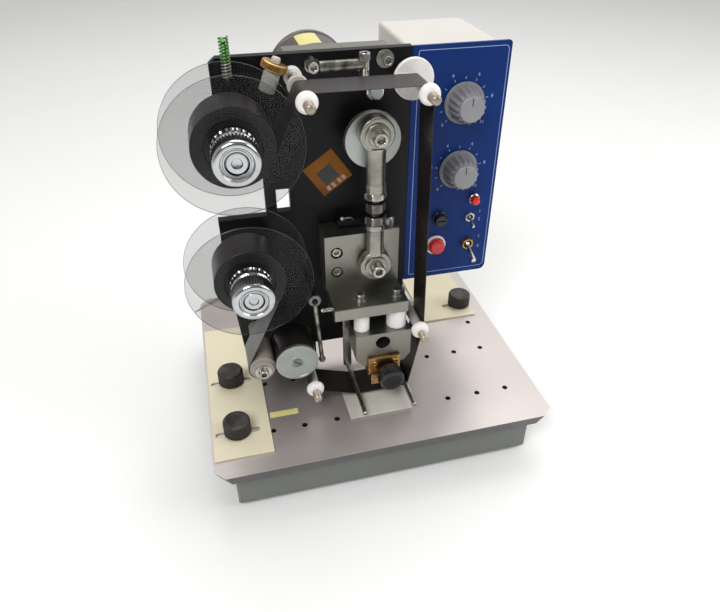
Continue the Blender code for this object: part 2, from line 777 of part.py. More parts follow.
def build_head():
    crank_pin_z = CRANK_Z + CRANK_R
    mid = (ROD_FRONT + ROD_BACK) / 2
    span = crank_pin_z - WRIST_Z
    up = crank_pin_z
    down = WRIST_Z
    rod = lathe(
        "z",
        (HEAD_X, mid, 0),
        [
            (0, down + EYE_R - 4),
            (9.0, down + EYE_R - 4),
            (8.4, down + 0.285 * span),
            (9.2, down + 0.30 * span),
            (9.2, down + 0.335 * span),
            (10.2, down + 0.34 * span),
            (10.2, down + 0.404 * span),
            (5.4, down + 0.41 * span),
            (5.4, down + 0.43 * span),
            (9.4, down + 0.435 * span),
            (9.4, down + 0.505 * span),
            (5.4, down + 0.51 * span),
            (5.4, down + 0.53 * span),
            (10.6, down + 0.535 * span),
            (10.6, down + 0.585 * span),
            (9.6, down + 0.59 * span),
            (9.6, down + 0.652 * span),
            (9.0, down + 0.66 * span),
            (9.6, up - EYE_R + 3.7),
            (0, up - EYE_R + 3.7),
        ],
        14,
    )
    for vert in rod.verts:
        vert.co.y = mid + (vert.co.y - mid) * ROD_FLAT
    eyes = []
    for z in (up, down):
        eyes.append(cylinder("y", (HEAD_X, z), EYE_R, ROD_FRONT, ROD_BACK, 22, 1.2))
    holes = [
        cylinder("y", (HEAD_X, up), 8.0, ROD_FRONT - 2, ROD_BACK + 2, SEG),
        cylinder("y", (HEAD_X, down), 8.0, ROD_FRONT - 2, ROD_BACK + 2, SEG),
    ]
    solid(
        "conrod",
        "steel",
        eyes[0],
        add=[eyes[1], rod],
        cut=holes,
        origin=(HEAD_X, mid, down),
    )
    eye_pin("crank_pin", up, -33.6)
    eye_pin("wrist_pin", down, CARRIAGE_FRONT - GAP)
    back = PLATE_FRONT - 0.6
    front = CARRIAGE_FRONT
    left = CARRIAGE_L
    right = CARRIAGE_R
    body = box(left, right, front, back, FLANGE_BOTTOM + 2, 242)
    carriage_add = [
        box(16.5, right, front, back, FLANGE_BOTTOM + 4, 243.5, 0.8),
        box(left, right, FLANGE_FRONT, front + 1, FLANGE_BOTTOM, FLANGE_TOP, 0.6),
        cylinder("z", (24.6, -23), 7.2, 241, 252, 24, 1.6),
    ]
    rail = box(HEAD_X - 20.5, HEAD_X + 20.5, -14.5, 0, FLANGE_BOTTOM - 5, 270)
    wells = [cylinder("y", (-29.2, z), 6.3, front - 1, front + 5, 20) for z in (201.2, 223.3)]
    screws = [
        cylinder("z", (-12, -60), 5.2, FLANGE_TOP - 4, FLANGE_TOP + 7, 20, 0.5),
        cylinder("z", (25, -60), 5.2, FLANGE_TOP - 4, FLANGE_TOP + 7, 20, 0.5),
    ]
    solid(
        "head_carriage",
        "alu",
        body,
        add=carriage_add + screws,
        cut=[rail] + wells,
        origin=(HEAD_X, front, FLANGE_BOTTOM),
    )
    outline = [
        (BLOCK_L, BLOCK_TOP),
        (BLOCK_R, BLOCK_TOP),
        (BLOCK_R, BLOCK_BOTTOM + 8.5),
        (BLOCK_R - 7, BLOCK_BOTTOM),
        (BLOCK_L + 9, BLOCK_BOTTOM),
        (BLOCK_L, BLOCK_BOTTOM + 8),
    ]
    top = FLANGE_BOTTOM - GAP
    solid(
        "hot_block",
        "alu",
        prism("y", outline, FLANGE_FRONT, -40),
        add=[
            box(BLOCK_L + 1, -3, -73, -48, BLOCK_TOP - 1, top, 0.5),
            box(15, BLOCK_R - 2, -73, -48, BLOCK_TOP - 1, top, 0.5),
        ],
        cut=[
            cylinder("y", (8.2, 135), 7.6, FLANGE_FRONT - 2, -48, 28),
            box(-4, 22, FLANGE_FRONT - 2, -43, BLOCK_BOTTOM - 2, BLOCK_BOTTOM + 4),
            box(-8, 26, FLANGE_FRONT - 2, -43, BLOCK_BOTTOM + 3, BLOCK_BOTTOM + 7),
        ],
        origin=(HEAD_X, -57, BLOCK_TOP),
    )
    tee = [
        (-7.6, BLOCK_BOTTOM + 3.4),
        (-3.6, BLOCK_BOTTOM + 3.4),
        (-3.6, BLOCK_BOTTOM - 0.4),
        (-8.0, BLOCK_BOTTOM - 0.4),
        (-8.0, 96.5),
        (-1.0, 96.5),
        (-1.0, 91.6),
        (19.0, 91.6),
        (19.0, 96.5),
        (26.0, 96.5),
        (26.0, BLOCK_BOTTOM - 0.4),
        (21.6, BLOCK_BOTTOM - 0.4),
        (21.6, BLOCK_BOTTOM + 3.4),
        (25.6, BLOCK_BOTTOM + 3.4),
        (25.6, BLOCK_BOTTOM + 6.6),
        (-7.6, BLOCK_BOTTOM + 6.6),
    ]
    edge = FLANGE_FRONT - GAP
    solid(
        "type_holder",
        "brass",
        prism("y", tee, edge - 1, -44),
        add=[
            box(-8, 26, edge - 4, edge, 97, 119, 0.5),
            box(-7.5, 1.5, edge - 13, edge - 3, 92, 105, 1.0),
            lathe(
                "y",
                (12.5, 0, 101.0),
                [
                    (0, edge - 3),
                    (5, edge - 3),
                    (5, edge - 8),
                    (11, edge - 8),
                    (11.8, edge - 9),
                    (11.8, edge - 21),
                    (10, edge - 23),
                    (0, edge - 23),
                ],
                26,
            ),
        ],
        origin=(HEAD_X, edge, BLOCK_BOTTOM),
    )
    for name, x in zip(("stripper_left", "stripper_right"), STRIPPER_X):
        solid(
            name,
            "steel",
            box(x - 4.5, x + 4.5, -29, -25, STRIPPER_Z - STRIPPER_R, 139, 0.4),
            add=[
                cylinder("y", (x, STRIPPER_Z), STRIPPER_R, -110, -26, 16, 0.5),
                box(x - 4, x + 4, -26, PLATE_FRONT - GAP, 128, 139),
            ],
        )


def reel(prefix, z, roll_r):
    """One reel: shaft with its collar, two clear discs, the roll of foil and the lock nut."""
    x = REEL_X
    back0 = RIBBON_BACK + GAP
    front0 = RIBBON_FRONT - GAP
    collar = front0 - REEL_T - GAP
    bore = REEL_SHAFT_R + GAP
    shaft = [
        (0, PLATE_BACK + 8),
        (SPINDLE_R, PLATE_BACK + 8),
        (SPINDLE_R, PLATE_FRONT - GAP),
        (15, PLATE_FRONT - GAP),
        (15, PLATE_FRONT - 6),
        (9.5, PLATE_FRONT - 8),
        (9.5, back0 + REEL_T + 8),
        (22, back0 + REEL_T + 6),
        (22, back0 + REEL_T + GAP),
        (REEL_SHAFT_R, back0 + REEL_T + GAP),
        (REEL_SHAFT_R, collar),
        (18.3, collar),
        (18.3, collar - 9),
        (15, collar - 11),
        (9, collar - 11),
        (9, collar - 27),
        (0, collar - 27),
    ]
    centre = (x, 0, z)
    mid = (back0 + front0) / 2
    solid(prefix + "_shaft", "chrome", lathe("y", centre, shaft, 18), origin=(x, mid, z))
    for name, low in (("_disc_back", back0), ("_disc_front", front0 - REEL_T)):
        ring = [
            (bore, low),
            (REEL_R, low),
            (REEL_R, low + REEL_T),
            (bore, low + REEL_T),
        ]
        solid(prefix + name, "clear", lathe("y", centre, ring, 32), origin=(x, mid, z))
    roll = [
        (bore, RIBBON_FRONT),
        (roll_r, RIBBON_FRONT),
        (roll_r, RIBBON_BACK),
        (bore, RIBBON_BACK),
    ]
    solid(prefix + "_roll", "foil", lathe("y", centre, roll, 28), origin=(x, mid, z))
    nut_back = collar - 11 - GAP
    nut = [
        (9.4, nut_back),
        (REEL_NUT_R - 1, nut_back),
        (REEL_NUT_R, nut_back - 1),
        (REEL_NUT_R, nut_back - 16.6),
        (REEL_NUT_R - 2, nut_back - 18.6),
        (12.5, nut_back - 18.6),
        (11, nut_back - 16),
        (9.4, nut_back - 15),
    ]
    solid(prefix + "_nut", "chrome", lathe("y", centre, nut, 20), origin=(x, nut_back, z))


def build_rollers():
    back = PLATE_BACK + 6
    x, z = FEED
    feed = [
        (0, back),
        (5, back),
        (5, PLATE_FRONT - GAP),
        (9, PLATE_FRONT - GAP),
        (9, RIBBON_BACK + 6),
        (FEED_FLANGE_R, RIBBON_BACK + 4),
        (FEED_FLANGE_R, RIBBON_BACK + 0.6),
        (FEED_R, RIBBON_BACK + 0.6),
        (FEED_R, RIBBON_FRONT - 0.6),
        (FEED_FLANGE_R, RIBBON_FRONT - 0.6),
        (FEED_FLANGE_R, RIBBON_FRONT - 3.4),
        (FEED_FLANGE_R - 1, RIBBON_FRONT - 4.4),
        (5.4, RIBBON_FRONT - 4.4),
        (5.4, RIBBON_FRONT - 3.6),
        (0, RIBBON_FRONT - 3.6),
    ]
    solid(
        "feed_roller",
        "rubber",
        lathe("y", (x, 0, z), feed, 24),
        origin=(x, (RIBBON_BACK + RIBBON_FRONT) / 2, z),
    )
    x, z = PINCH
    pinch = [
        (0, back),
        (4, back),
        (4, PLATE_FRONT - GAP),
        (7, PLATE_FRONT - GAP),
        (7, RIBBON_BACK + 2),
        (PINCH_R - 1.6, RIBBON_BACK + 0.5),
        (PINCH_R, RIBBON_BACK),
        (PINCH_R, RIBBON_FRONT),
        (PINCH_R - 1.6, RIBBON_FRONT - 0.5),
        (PINCH_R - 2.4, RIBBON_FRONT - 5),
        (5, RIBBON_FRONT - 5),
        (5, RIBBON_FRONT - 11),
        (0, RIBBON_FRONT - 11),
    ]
    solid(
        "pinch_roller",
        "rubber",
        lathe("y", (x, 0, z), pinch, 18),
        origin=(x, (RIBBON_BACK + RIBBON_FRONT) / 2, z),
    )


def build_posts():
    front = RIBBON_FRONT - 1.4
    shoulder = RIBBON_BACK + 1.4
    for name, (x, z), flange in (
        ("post_top_left", POST_TL, 9.0),
        ("post_top_right", POST_TR, 17.9),
        ("post_bottom_left", POST_BL, 8.0),
        ("post_bottom_right", POST_BR, 8.0),
    ):
        profile = [
            (0, PLATE_FRONT - GAP),
            (6.5, PLATE_FRONT - GAP),
            (6.5, PLATE_FRONT - 4),
            (4, PLATE_FRONT - 5),
            (4, shoulder + 4),
            (flange, shoulder + 4),
            (flange, shoulder),
            (POST_R, shoulder),
            (POST_R, front),
            (POST_NUT_R - 1, front),
            (POST_NUT_R, front - 1),
            (POST_NUT_R, front - 6),
            (POST_NUT_R - 1.6, front - 7.6),
            (3, front - 8),
            (3, front - 20),
            (0, front - 20),
        ]
        solid(name, "nylon", lathe("y", (x, 0, z), profile, 14))
    x, z = -58.0, 192.0
    solid(
        "advance_rod",
        "steel",
        tube_path([(x, -63.5, z - 3), (x + 4.5, -63.5, 118)], 2.2, 12),
        add=[
            lathe("y", (x, 0, z), [(3.0, -66), (6.2, -66), (6.2, -61), (3.0, -61)], 20),
            lathe("z", (x + 4.6, -63.5, 117), [(0, -3.6), (2.6, -2.6), (3.6, 0), (2.6, 2.6), (0, 3.6)], 14),
        ],
        cut=[cylinder("y", (x, z), 3.0, -70, -58, 20)],
        origin=(x, -63.5, z),
    )


def ribbon_stops():
    grow = GAP + RIBBON_T / 2
    return [
        (REEL_X, SUPPLY_Z, SUPPLY_ROLL_R + grow, 1),
        (POST_TL[0], POST_TL[1], POST_R + grow, -1),
        (POST_TR[0], POST_TR[1], POST_R + grow, -1),
        (POST_BR[0], POST_BR[1], POST_R + grow, -1),
        (STRIPPER_X[1], STRIPPER_Z, STRIPPER_R + grow, -1),
        (STRIPPER_X[0], STRIPPER_Z, STRIPPER_R + grow, -1),
        (POST_BL[0], POST_BL[1], POST_R + grow, -1),
        (FEED[0], FEED[1], FEED_R + grow, 1),
        (PINCH[0], PINCH[1], PINCH_R + grow, -1),
        (REEL_X, TAKEUP_Z, TAKEUP_ROLL_R + grow, 1),
    ]


def ribbon_line():
    """Points of the foil's centre line: straight between stops, round on each stop."""
    stops = ribbon_stops()
    legs = []
    for (x0, z0, r0, s0), (x1, z1, r1, s1) in zip(stops, stops[1:]):
        dx = x1 - x0
        dz = z1 - z0
        lean = math.asin((s1 * r1 - s0 * r0) / math.hypot(dx, dz))
        heading = math.atan2(dz, dx) - lean
        nx = -math.sin(heading)
        nz = math.cos(heading)
        start = (x0 - s0 * r0 * nx, z0 - s0 * r0 * nz)
        end = (x1 - s1 * r1 * nx, z1 - s1 * r1 * nz)
        legs.append((start, end))
    points = [legs[0][0], legs[0][1]]
    for (x, z, r, side), before, after in zip(stops[1:], legs, legs[1:]):
        a0 = math.atan2(before[1][1] - z, before[1][0] - x)
        a1 = math.atan2(after[0][1] - z, after[0][0] - x)
        turn = (a1 - a0) * side % (2 * math.pi)
        steps = max(2, round(turn / math.radians(18)))
        for step in range(1, steps + 1):
            angle = a0 + side * turn * step / steps
            points.append((x + r * math.cos(angle), z + r * math.sin(angle)))
        points.append(after[1])
    return points


def build_ribbon():
    line = ribbon_line()
    left = []
    right = []
    count = len(line)
    for index, (x, z) in enumerate(line):
        bx, bz = line[max(index - 1, 0)]
        ax, az = line[min(index + 1, count - 1)]
        length = math.hypot(ax - bx, az - bz)
        nx = -(az - bz) / length * RIBBON_T / 2
        nz = (ax - bx) / length * RIBBON_T / 2
        left.append((x + nx, z + nz))
        right.append((x - nx, z - nz))
    bm = bmesh.new()
    rows = []
    for y in (RIBBON_FRONT, RIBBON_BACK):
        rows.append([bm.verts.new((x, y, z)) for x, z in left])
        rows.append([bm.verts.new((x, y, z)) for x, z in right])
    ring = (rows[0], rows[1], rows[3], rows[2])
    for near, far in zip(ring, ring[1:] + ring[:1]):
        for step in range(count - 1):
            bm.faces.new((near[step], near[step + 1], far[step + 1], far[step]))
    for end in (0, count - 1):
        bm.faces.new([row[end] for row in ring])
    bmesh.ops.recalc_face_normals(bm, faces=bm.faces)
    solid("ribbon_web", "foil", bm)


def build_brake():
    tilt = (0, math.radians(22), 0)
    origin = (-79.0, -16.8, 386.0)
    x, y, z = origin
    solid(
        "brake_stem",
        "nylon",
        lathe("z", origin, [(0, -7), (7, -7), (7, 11), (4, 11), (4, 22), (0, 22)], 24),
        origin=origin,
        tilt=tilt,
    )
    solid(
        "brake_nut",
        "brass",
        lathe("z", origin, [(4.3, 11.3), (10.6, 11.3), (11.2, 12), (11.2, 17), (10.4, 18), (4.3, 18)], 28),
        origin=origin,
        tilt=tilt,
    )
    points = []
    turns = 7
    per_turn = 9
    for step in range(turns * per_turn + 1):
        angle = 2 * math.pi * step / per_turn
        height = 390.2 + 33.0 * step / (turns * per_turn)
        points.append((-112 + 3.6 * math.cos(angle), -10.5 + 3.6 * math.sin(angle), height))
    solid("brake_spring", "spring_green", tube_path(points, 0.8, 4))


def main():
    clear_scene()
    build_base()
    build_guides()
    build_plate()
    build_box()
    build_panel()
    build_drive()
    build_head()
    reel("supply", SUPPLY_Z, SUPPLY_ROLL_R)
    reel("takeup", TAKEUP_Z, TAKEUP_ROLL_R)
    build_rollers()
    build_posts()
    build_ribbon()
    build_brake()


main()
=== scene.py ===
"""Looks of a ribbon date coder: finishes, fine fittings, floor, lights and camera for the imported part."""

import json
import math

import bmesh
import bpy
from mathutils import Euler, Matrix, Vector


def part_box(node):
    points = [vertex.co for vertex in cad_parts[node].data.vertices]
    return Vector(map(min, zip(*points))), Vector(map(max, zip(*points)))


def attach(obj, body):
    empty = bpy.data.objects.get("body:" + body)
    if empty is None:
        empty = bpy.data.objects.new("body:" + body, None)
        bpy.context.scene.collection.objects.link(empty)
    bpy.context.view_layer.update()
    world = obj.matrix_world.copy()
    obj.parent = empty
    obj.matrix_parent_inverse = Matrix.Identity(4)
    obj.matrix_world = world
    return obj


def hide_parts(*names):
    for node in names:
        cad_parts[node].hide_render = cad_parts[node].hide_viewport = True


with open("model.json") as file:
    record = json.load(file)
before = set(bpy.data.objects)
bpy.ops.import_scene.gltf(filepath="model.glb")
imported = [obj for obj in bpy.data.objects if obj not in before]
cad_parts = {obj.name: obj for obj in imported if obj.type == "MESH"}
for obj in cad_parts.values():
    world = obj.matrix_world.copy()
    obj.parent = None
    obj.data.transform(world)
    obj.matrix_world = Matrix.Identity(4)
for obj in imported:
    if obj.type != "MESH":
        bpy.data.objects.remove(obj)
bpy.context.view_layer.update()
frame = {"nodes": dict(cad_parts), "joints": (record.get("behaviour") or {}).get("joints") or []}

bl_info = {
    "name": "Ribbon date coder looks",
    "version": (1, 0, 0),
    "blender": (4, 5, 0),
    "location": "3D View > Sidebar > Coder",
    "description": "Builds the finishes and fine fittings of a bench ribbon date coder",
    "category": "Object",
}

MM = 0.001
PROUD = 0.15  # how far the motor's label stands out
SMALL, FINE, ROUND = 28, 40, 64  # sides of small, fine and large round shapes
CORNER_STEPS = 6
CRISP = math.radians(30.0)  # edges sharper than this are rounded
SMOOTH = math.radians(35.0)  # edges sharper than this stay sharp in the shading
SOCKET = 0.52  # a cap screw's socket as a share of its head
HEX = ("flat", 6)
AXES = {
    "x": Matrix(((0, 0, 1), (1, 0, 0), (0, 1, 0))),
    "y": Matrix(((0, 1, 0), (0, 0, 1), (1, 0, 0))),
    "z": Matrix(((1, 0, 0), (0, 1, 0), (0, 0, 1))),
}


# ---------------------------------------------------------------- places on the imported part


def low_high(node):
    """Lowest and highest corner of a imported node, in millimetres."""
    low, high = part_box(node)
    return low / MM, high / MM


def middle(node):
    """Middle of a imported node, in millimetres."""
    low, high = low_high(node)
    return (low + high) / 2


def round_node(node):
    """Lowest and highest corner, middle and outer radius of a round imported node."""
    low, high = low_high(node)
    return low, high, (low + high) / 2, (high.x - low.x) / 2


def joint_place(name):
    """A hinge's own point, in millimetres."""
    found = [joint for joint in frame["joints"] if joint["name"] == name]
    return Vector(found[0]["pos_m"]) / MM


# ---------------------------------------------------------------- shapes, in millimetres


def ring_radius(radius, angle, shape):
    """The radius at one angle of a round, flat-sided, fluted, ribbed or notched ring."""
    if shape is None:
        return radius
    kind, count = shape[0], shape[1]
    turn = 2 * math.pi / count
    part = angle % turn
    if kind == "flat":
        return radius * math.cos(turn / 2) / math.cos(part - turn / 2)
    if kind == "wave":
        return radius - shape[2] * (0.5 - 0.5 * math.cos(count * angle))
    return radius - (shape[2] if part < turn * shape[3] else 0.0)


def turned(axis, centre, profile, seg):
    """Turns (radius, height[, shape]) rows about an axis; a ring if they never meet the axis."""
    bm = bmesh.new()
    turn = AXES[axis]
    rows = []
    for row in profile:
        radius, height = row[0], row[1]
        shape = row[2] if len(row) > 2 else None
        if radius == 0:
            rows.append([bm.verts.new(turn @ Vector((0, 0, height)))])
            continue
        ring = []
        for step in range(seg):
            angle = 2 * math.pi * step / seg
            reach = ring_radius(radius, angle, shape)
            spot = (reach * math.cos(angle), reach * math.sin(angle), height)
            ring.append(bm.verts.new(turn @ Vector(spot)))
        rows.append(ring)
    pairs = list(zip(rows, rows[1:]))
    if profile[0][0] and profile[-1][0]:
        pairs.append((rows[-1], rows[0]))
    for low, high in pairs:
        for step in range(seg):
            after = (step + 1) % seg
            if len(low) == 1:
                bm.faces.new((low[0], high[step], high[after]))
            elif len(high) == 1:
                bm.faces.new((low[step], low[after], high[0]))
            else:
                bm.faces.new((low[step], low[after], high[after], high[step]))
    bmesh.ops.recalc_face_normals(bm, faces=bm.faces)
    bmesh.ops.translate(bm, verts=bm.verts, vec=Vector(centre))
    return bm


def rounded_ring(inner, outer, low, high, edge):
    """Profile of a ring with both outer edges rounded."""
    arc = [math.radians(part) for part in (0, 30, 60, 90)]
    top = [(outer - edge + edge * math.sin(a), high - edge + edge * math.cos(a)) for a in arc]
    foot = [(outer - edge + edge * math.cos(a), low + edge - edge * math.sin(a)) for a in arc]
    return [(inner, high)] + top + foot + [(inner, low)]


def softened(bm, lines, edge, segments, clamp=False):
    """Rounds these edges of a shape; clamp keeps the rounding from running past its faces."""
    bmesh.ops.bevel(
        bm, geom=lines, offset=edge, segments=segments, profile=0.5, affect="EDGES", clamp_overlap=clamp
    )


def block(x0, x1, y0, y1, z0, z1, bevel=0.4, segments=2):
    """A box between two corners with rounded edges."""
    bm = bmesh.new()
    bmesh.ops.create_cube(bm, size=1.0)
    for vert in bm.verts:
        vert.co.x = x1 if vert.co.x > 0 else x0
        vert.co.y = y1 if vert.co.y > 0 else y0
        vert.co.z = z1 if vert.co.z > 0 else z0
    if bevel:
        softened(bm, list(bm.edges), bevel, segments)
    return bm


def prism(points, low, high):
    """Extrudes an outline of (x, z) points along y."""
    bm = bmesh.new()
    ends = []
    for height in (low, high):
        ends.append([bm.verts.new((x, height, z)) for x, z in points])
    bm.faces.new(ends[0])
    bm.faces.new(ends[1])
    count = len(points)
    for step in range(count):
        after = (step + 1) % count
        bm.faces.new((ends[0][step], ends[0][after], ends[1][after], ends[1][step]))
    bmesh.ops.recalc_face_normals(bm, faces=bm.faces)
    return bm


def rounded_outline(x0, x1, z0, z1, radii):
    """A rectangle's outline; the radii are for low left, low right, high right and high left."""
    corners = ((x0, z0, 180), (x1, z0, 270), (x1, z1, 0), (x0, z1, 90))
    points = []
    for (x, z, start), radius in zip(corners, radii):
        if radius == 0:
            points.append((x, z))
            continue
        cx = x + radius if x == x0 else x - radius
        cz = z + radius if z == z0 else z - radius
        for step in range(CORNER_STEPS + 1):
            angle = math.radians(start + 90 * step / CORNER_STEPS)
            points.append((cx + radius * math.cos(angle), cz + radius * math.sin(angle)))
    return points


def outline_strip(points, inner, low, high):
    """A flat band between two (x, z) outlines of equal count, from low to high along y."""
    bm = bmesh.new()
    rings = []
    for outline in (points, inner):
        for height in (low, high):
            rings.append([bm.verts.new((x, height, z)) for x, z in outline])
    count = len(points)
    for first, second in ((0, 1), (1, 3), (3, 2), (2, 0)):
        for step in range(count):
            after = (step + 1) % count
            near, far = rings[first], rings[second]
            bm.faces.new((near[step], near[after], far[after], far[step]))
    bmesh.ops.recalc_face_normals(bm, faces=bm.faces)
    return bm


def swept(points, radius, sides, taper=1.0):
    """A round bar along a line of points; taper is the end radius as a share of the first."""
    bm = bmesh.new()
    rows = []
    up = Vector((0.13, 0.21, 0.97)).normalized()
    count = len(points)
    for index, here in enumerate(points):
        before = Vector(points[max(index - 1, 0)])
        after = Vector(points[min(index + 1, count - 1)])
        along = (after - before).normalized()
        side = along.cross(up).normalized()
        lift = side.cross(along)
        reach = radius * (1 + (taper - 1) * index / (count - 1))
        row = []
        for step in range(sides):
            angle = 2 * math.pi * step / sides
            offset = side * math.cos(angle) + lift * math.sin(angle)
            row.append(bm.verts.new(Vector(here) + offset * reach))
        rows.append(row)
    for low, high in zip(rows, rows[1:]):
        for step in range(sides):
            after = (step + 1) % sides
            bm.faces.new((low[step], low[after], high[after], high[step]))
    bm.faces.new(rows[0])
    bm.faces.new(rows[-1])
    bmesh.ops.recalc_face_normals(bm, faces=bm.faces)
    return bm


def coil(axis_point, radius, wire, low, high, turns, per_turn, sides):
    """An upright coil spring."""
    count = turns * per_turn
    points = []
    for step in range(count + 1):
        angle = 2 * math.pi * step / per_turn
        height = low + (high - low) * step / count
        spot = (radius * math.cos(angle), radius * math.sin(angle), height)
        points.append(Vector(axis_point) + Vector(spot))
    return swept(points, wire, sides)


def joined(*meshes):
    """One mesh that holds all of these."""
    whole = bmesh.new()
    for bm in meshes:
        carrier = bpy.data.meshes.new("carrier")
        bm.to_mesh(carrier)
        bm.free()
        whole.from_mesh(carrier)
        bpy.data.meshes.remove(carrier)
    return whole


def mesh_object(name, bm):
    """A new object in the scene that holds this shape."""
    mesh = bpy.data.meshes.new(name)
    bm.to_mesh(mesh)
    bm.free()
    made = bpy.data.objects.new(name, mesh)
    bpy.context.scene.collection.objects.link(made)
    return made


def tinted(bm, wanted):
    """Gives the faces whose centre and normal pass the test the piece's second finish."""
    for face in bm.faces:
        if wanted(face.calc_center_median(), face.normal):
            face.material_index = 1


def packed_shape(node, edge):
    """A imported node's own shape, in millimetres, with its sharp edges rounded."""
    bm = bmesh.new()
    bm.from_mesh(frame["nodes"][node].data)
    bmesh.ops.scale(bm, verts=bm.verts, vec=(1 / MM, 1 / MM, 1 / MM))
    bmesh.ops.remove_doubles(bm, verts=bm.verts, dist=0.001)
    bmesh.ops.dissolve_limit(bm, angle_limit=math.radians(1), verts=bm.verts, edges=bm.edges)
    crisp = [line for line in bm.edges if line.is_manifold and line.calc_face_angle() > CRISP]
    softened(bm, crisp, edge, 2, clamp=True)
    return bm


def carved(body, cutters, job="DIFFERENCE"):
    """The body with each cutter taken away, or joined on, through Boolean modifiers."""
    objects = [mesh_object("carve_body", body)] + [mesh_object("carve_tool", bm) for bm in cutters]
    for tool in objects[1:]:
        change = objects[0].modifiers.new("carve", "BOOLEAN")
        change.operation = job
        change.object = tool
    depsgraph = bpy.context.evaluated_depsgraph_get()
    final = bpy.data.meshes.new_from_object(objects[0].evaluated_get(depsgraph))
    result = bmesh.new()
    result.from_mesh(final)
    for made in objects:
        spent = made.data
        bpy.data.objects.remove(made)
        bpy.data.meshes.remove(spent)
    bpy.data.meshes.remove(final)
    return result


def piece(name, body, looks, bm, stands_for=()):
    """One finished piece, with its finishes, the body it rides on and the nodes it stands for."""
    bmesh.ops.scale(bm, verts=bm.verts, vec=(MM, MM, MM))
    made = mesh_object(name, bm)
    for look in looks:
        made.data.materials.append(finish(look))
    for face in made.data.polygons:
        face.use_smooth = True
    made.data.set_sharp_from_angle(angle=SMOOTH)
    evened = made.modifiers.new("even_normals", "WEIGHTED_NORMAL")
    evened.keep_sharp = True
    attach(made, body)
    if stands_for:
        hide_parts(*stands_for)


# ---------------------------------------------------------------- fasteners


def cap_screw(axis, centre, base, face, radius):
    """A socket-head cap screw: its head from base to face, with a knurled side and a hexagonal socket."""
    out = 1 if face > base else -1
    ribs = 24
    knurl = ("wave", ribs, radius * 0.07)
    edge = radius * 0.12
    key = radius * SOCKET
    depth = min(abs(face - base) * 0.6, radius * 0.9)
    profile = [
        (0, base), (radius, base, knurl), (radius, face - out * edge, knurl), (radius - edge, face),
        (key * 1.16, face), (key * 1.06, face - out * edge * 0.7, HEX),
        (key * 1.06, face - out * depth, HEX), (0, face - out * depth * 1.15),
    ]
    return turned(axis, centre, profile, 2 * ribs)


def hex_nut(axis, centre, low, high, radius, bore):
    """A hexagonal nut or a round-cornered hexagonal collar."""
    edge = radius * 0.09
    profile = [
        (bore, low), (radius * 0.88, low), (radius, low + edge, HEX), (radius, high - edge, HEX),
        (radius * 0.88, high), (bore, high),
    ]
    return turned(axis, centre, profile, 48)


def washer(axis, centre, low, high, radius, bore):
    """A flat ring with softened edges."""
    return turned(axis, centre, rounded_ring(bore, radius, low, high, min(0.4, (high - low) / 3)), FINE)


def threads(radius, low, high, pitch, depth):
    """Profile rows of a threaded stretch, from low to high."""
    count = max(2, round(abs(high - low) / pitch))
    rows = []
    for step in range(count):
        start = low + (high - low) * step / count
        stop = low + (high - low) * (step + 1) / count
        rows.append((radius - depth, start))
        rows.append((radius, (start + stop) / 2))
    rows.append((radius - depth, high))
    return rows


# ---------------------------------------------------------------- finishes


def linear(code):
    """Linear colour of an sRGB hex code."""
    parts = [int(code[at : at + 2], 16) / 255 for at in (1, 3, 5)]
    return [p / 12.92 if p <= 0.04045 else ((p + 0.055) / 1.055) ** 2.4 for p in parts]


def linear_tone(colour):
    """Linear colour of a hex code, or of one of the scene's own settings by its name."""
    if colour.startswith("#"):
        return linear(colour)
    return list(getattr(bpy.context.scene.coder_finishes, colour))


def colour_property(label, words, code):
    """A setting that holds a colour, given as an sRGB hex code."""
    return bpy.props.FloatVectorProperty(
        name=label, description=words, subtype="COLOR", size=3, min=0.0, max=1.0, default=linear(code),
    )


class CoderFinishes(bpy.types.PropertyGroup):
    """Colours of the machine's paint, metals, plastics and foil."""

    plate_black: colour_property("Plate black", "Satin paint of the upright plate", "#0D0D10")
    base_grey: colour_property("Base grey", "Paint of the base box", "#717471")
    base_steel: colour_property("Base steel", "Brushed top of the base", "#D6CECA")
    guide_cream: colour_property("Guide cream", "Paint of the product guides", "#E8DFC2")
    box_cream: colour_property("Box cream", "Paint of the control box", "#D8D4CC")
    panel_blue: colour_property("Panel blue", "Printed film of the control panel", "#002C70")
    knob_grey: colour_property("Dial grey", "Moulded dial knobs", "#7F7F82")
    knob_black: colour_property("Knob black", "Thumb knobs of the guides", "#1E1717")
    motor_grey: colour_property("Motor grey", "Paint of the gear motor", "#5F5A58")
    foil_black: colour_property("Foil black", "Glossy side of the ribbon", "#262120")
    button_red: colour_property("Button red", "Push button and lamp", "#D8221D")
    sticker_orange: colour_property("Sticker orange", "Blank diamond sticker", "#9C5E08")
    label_yellow: colour_property("Label yellow", "Blank paper labels", "#E3DB8E")
    brass: colour_property("Brass", "Type holder and thumb nut", "#C79A58")
    spring_green: colour_property("Spring green", "Painted end of the brake spring", "#4F9A3B")
    nylon_white: colour_property("Nylon white", "Nuts, collars and flanges", "#F2F0EC")


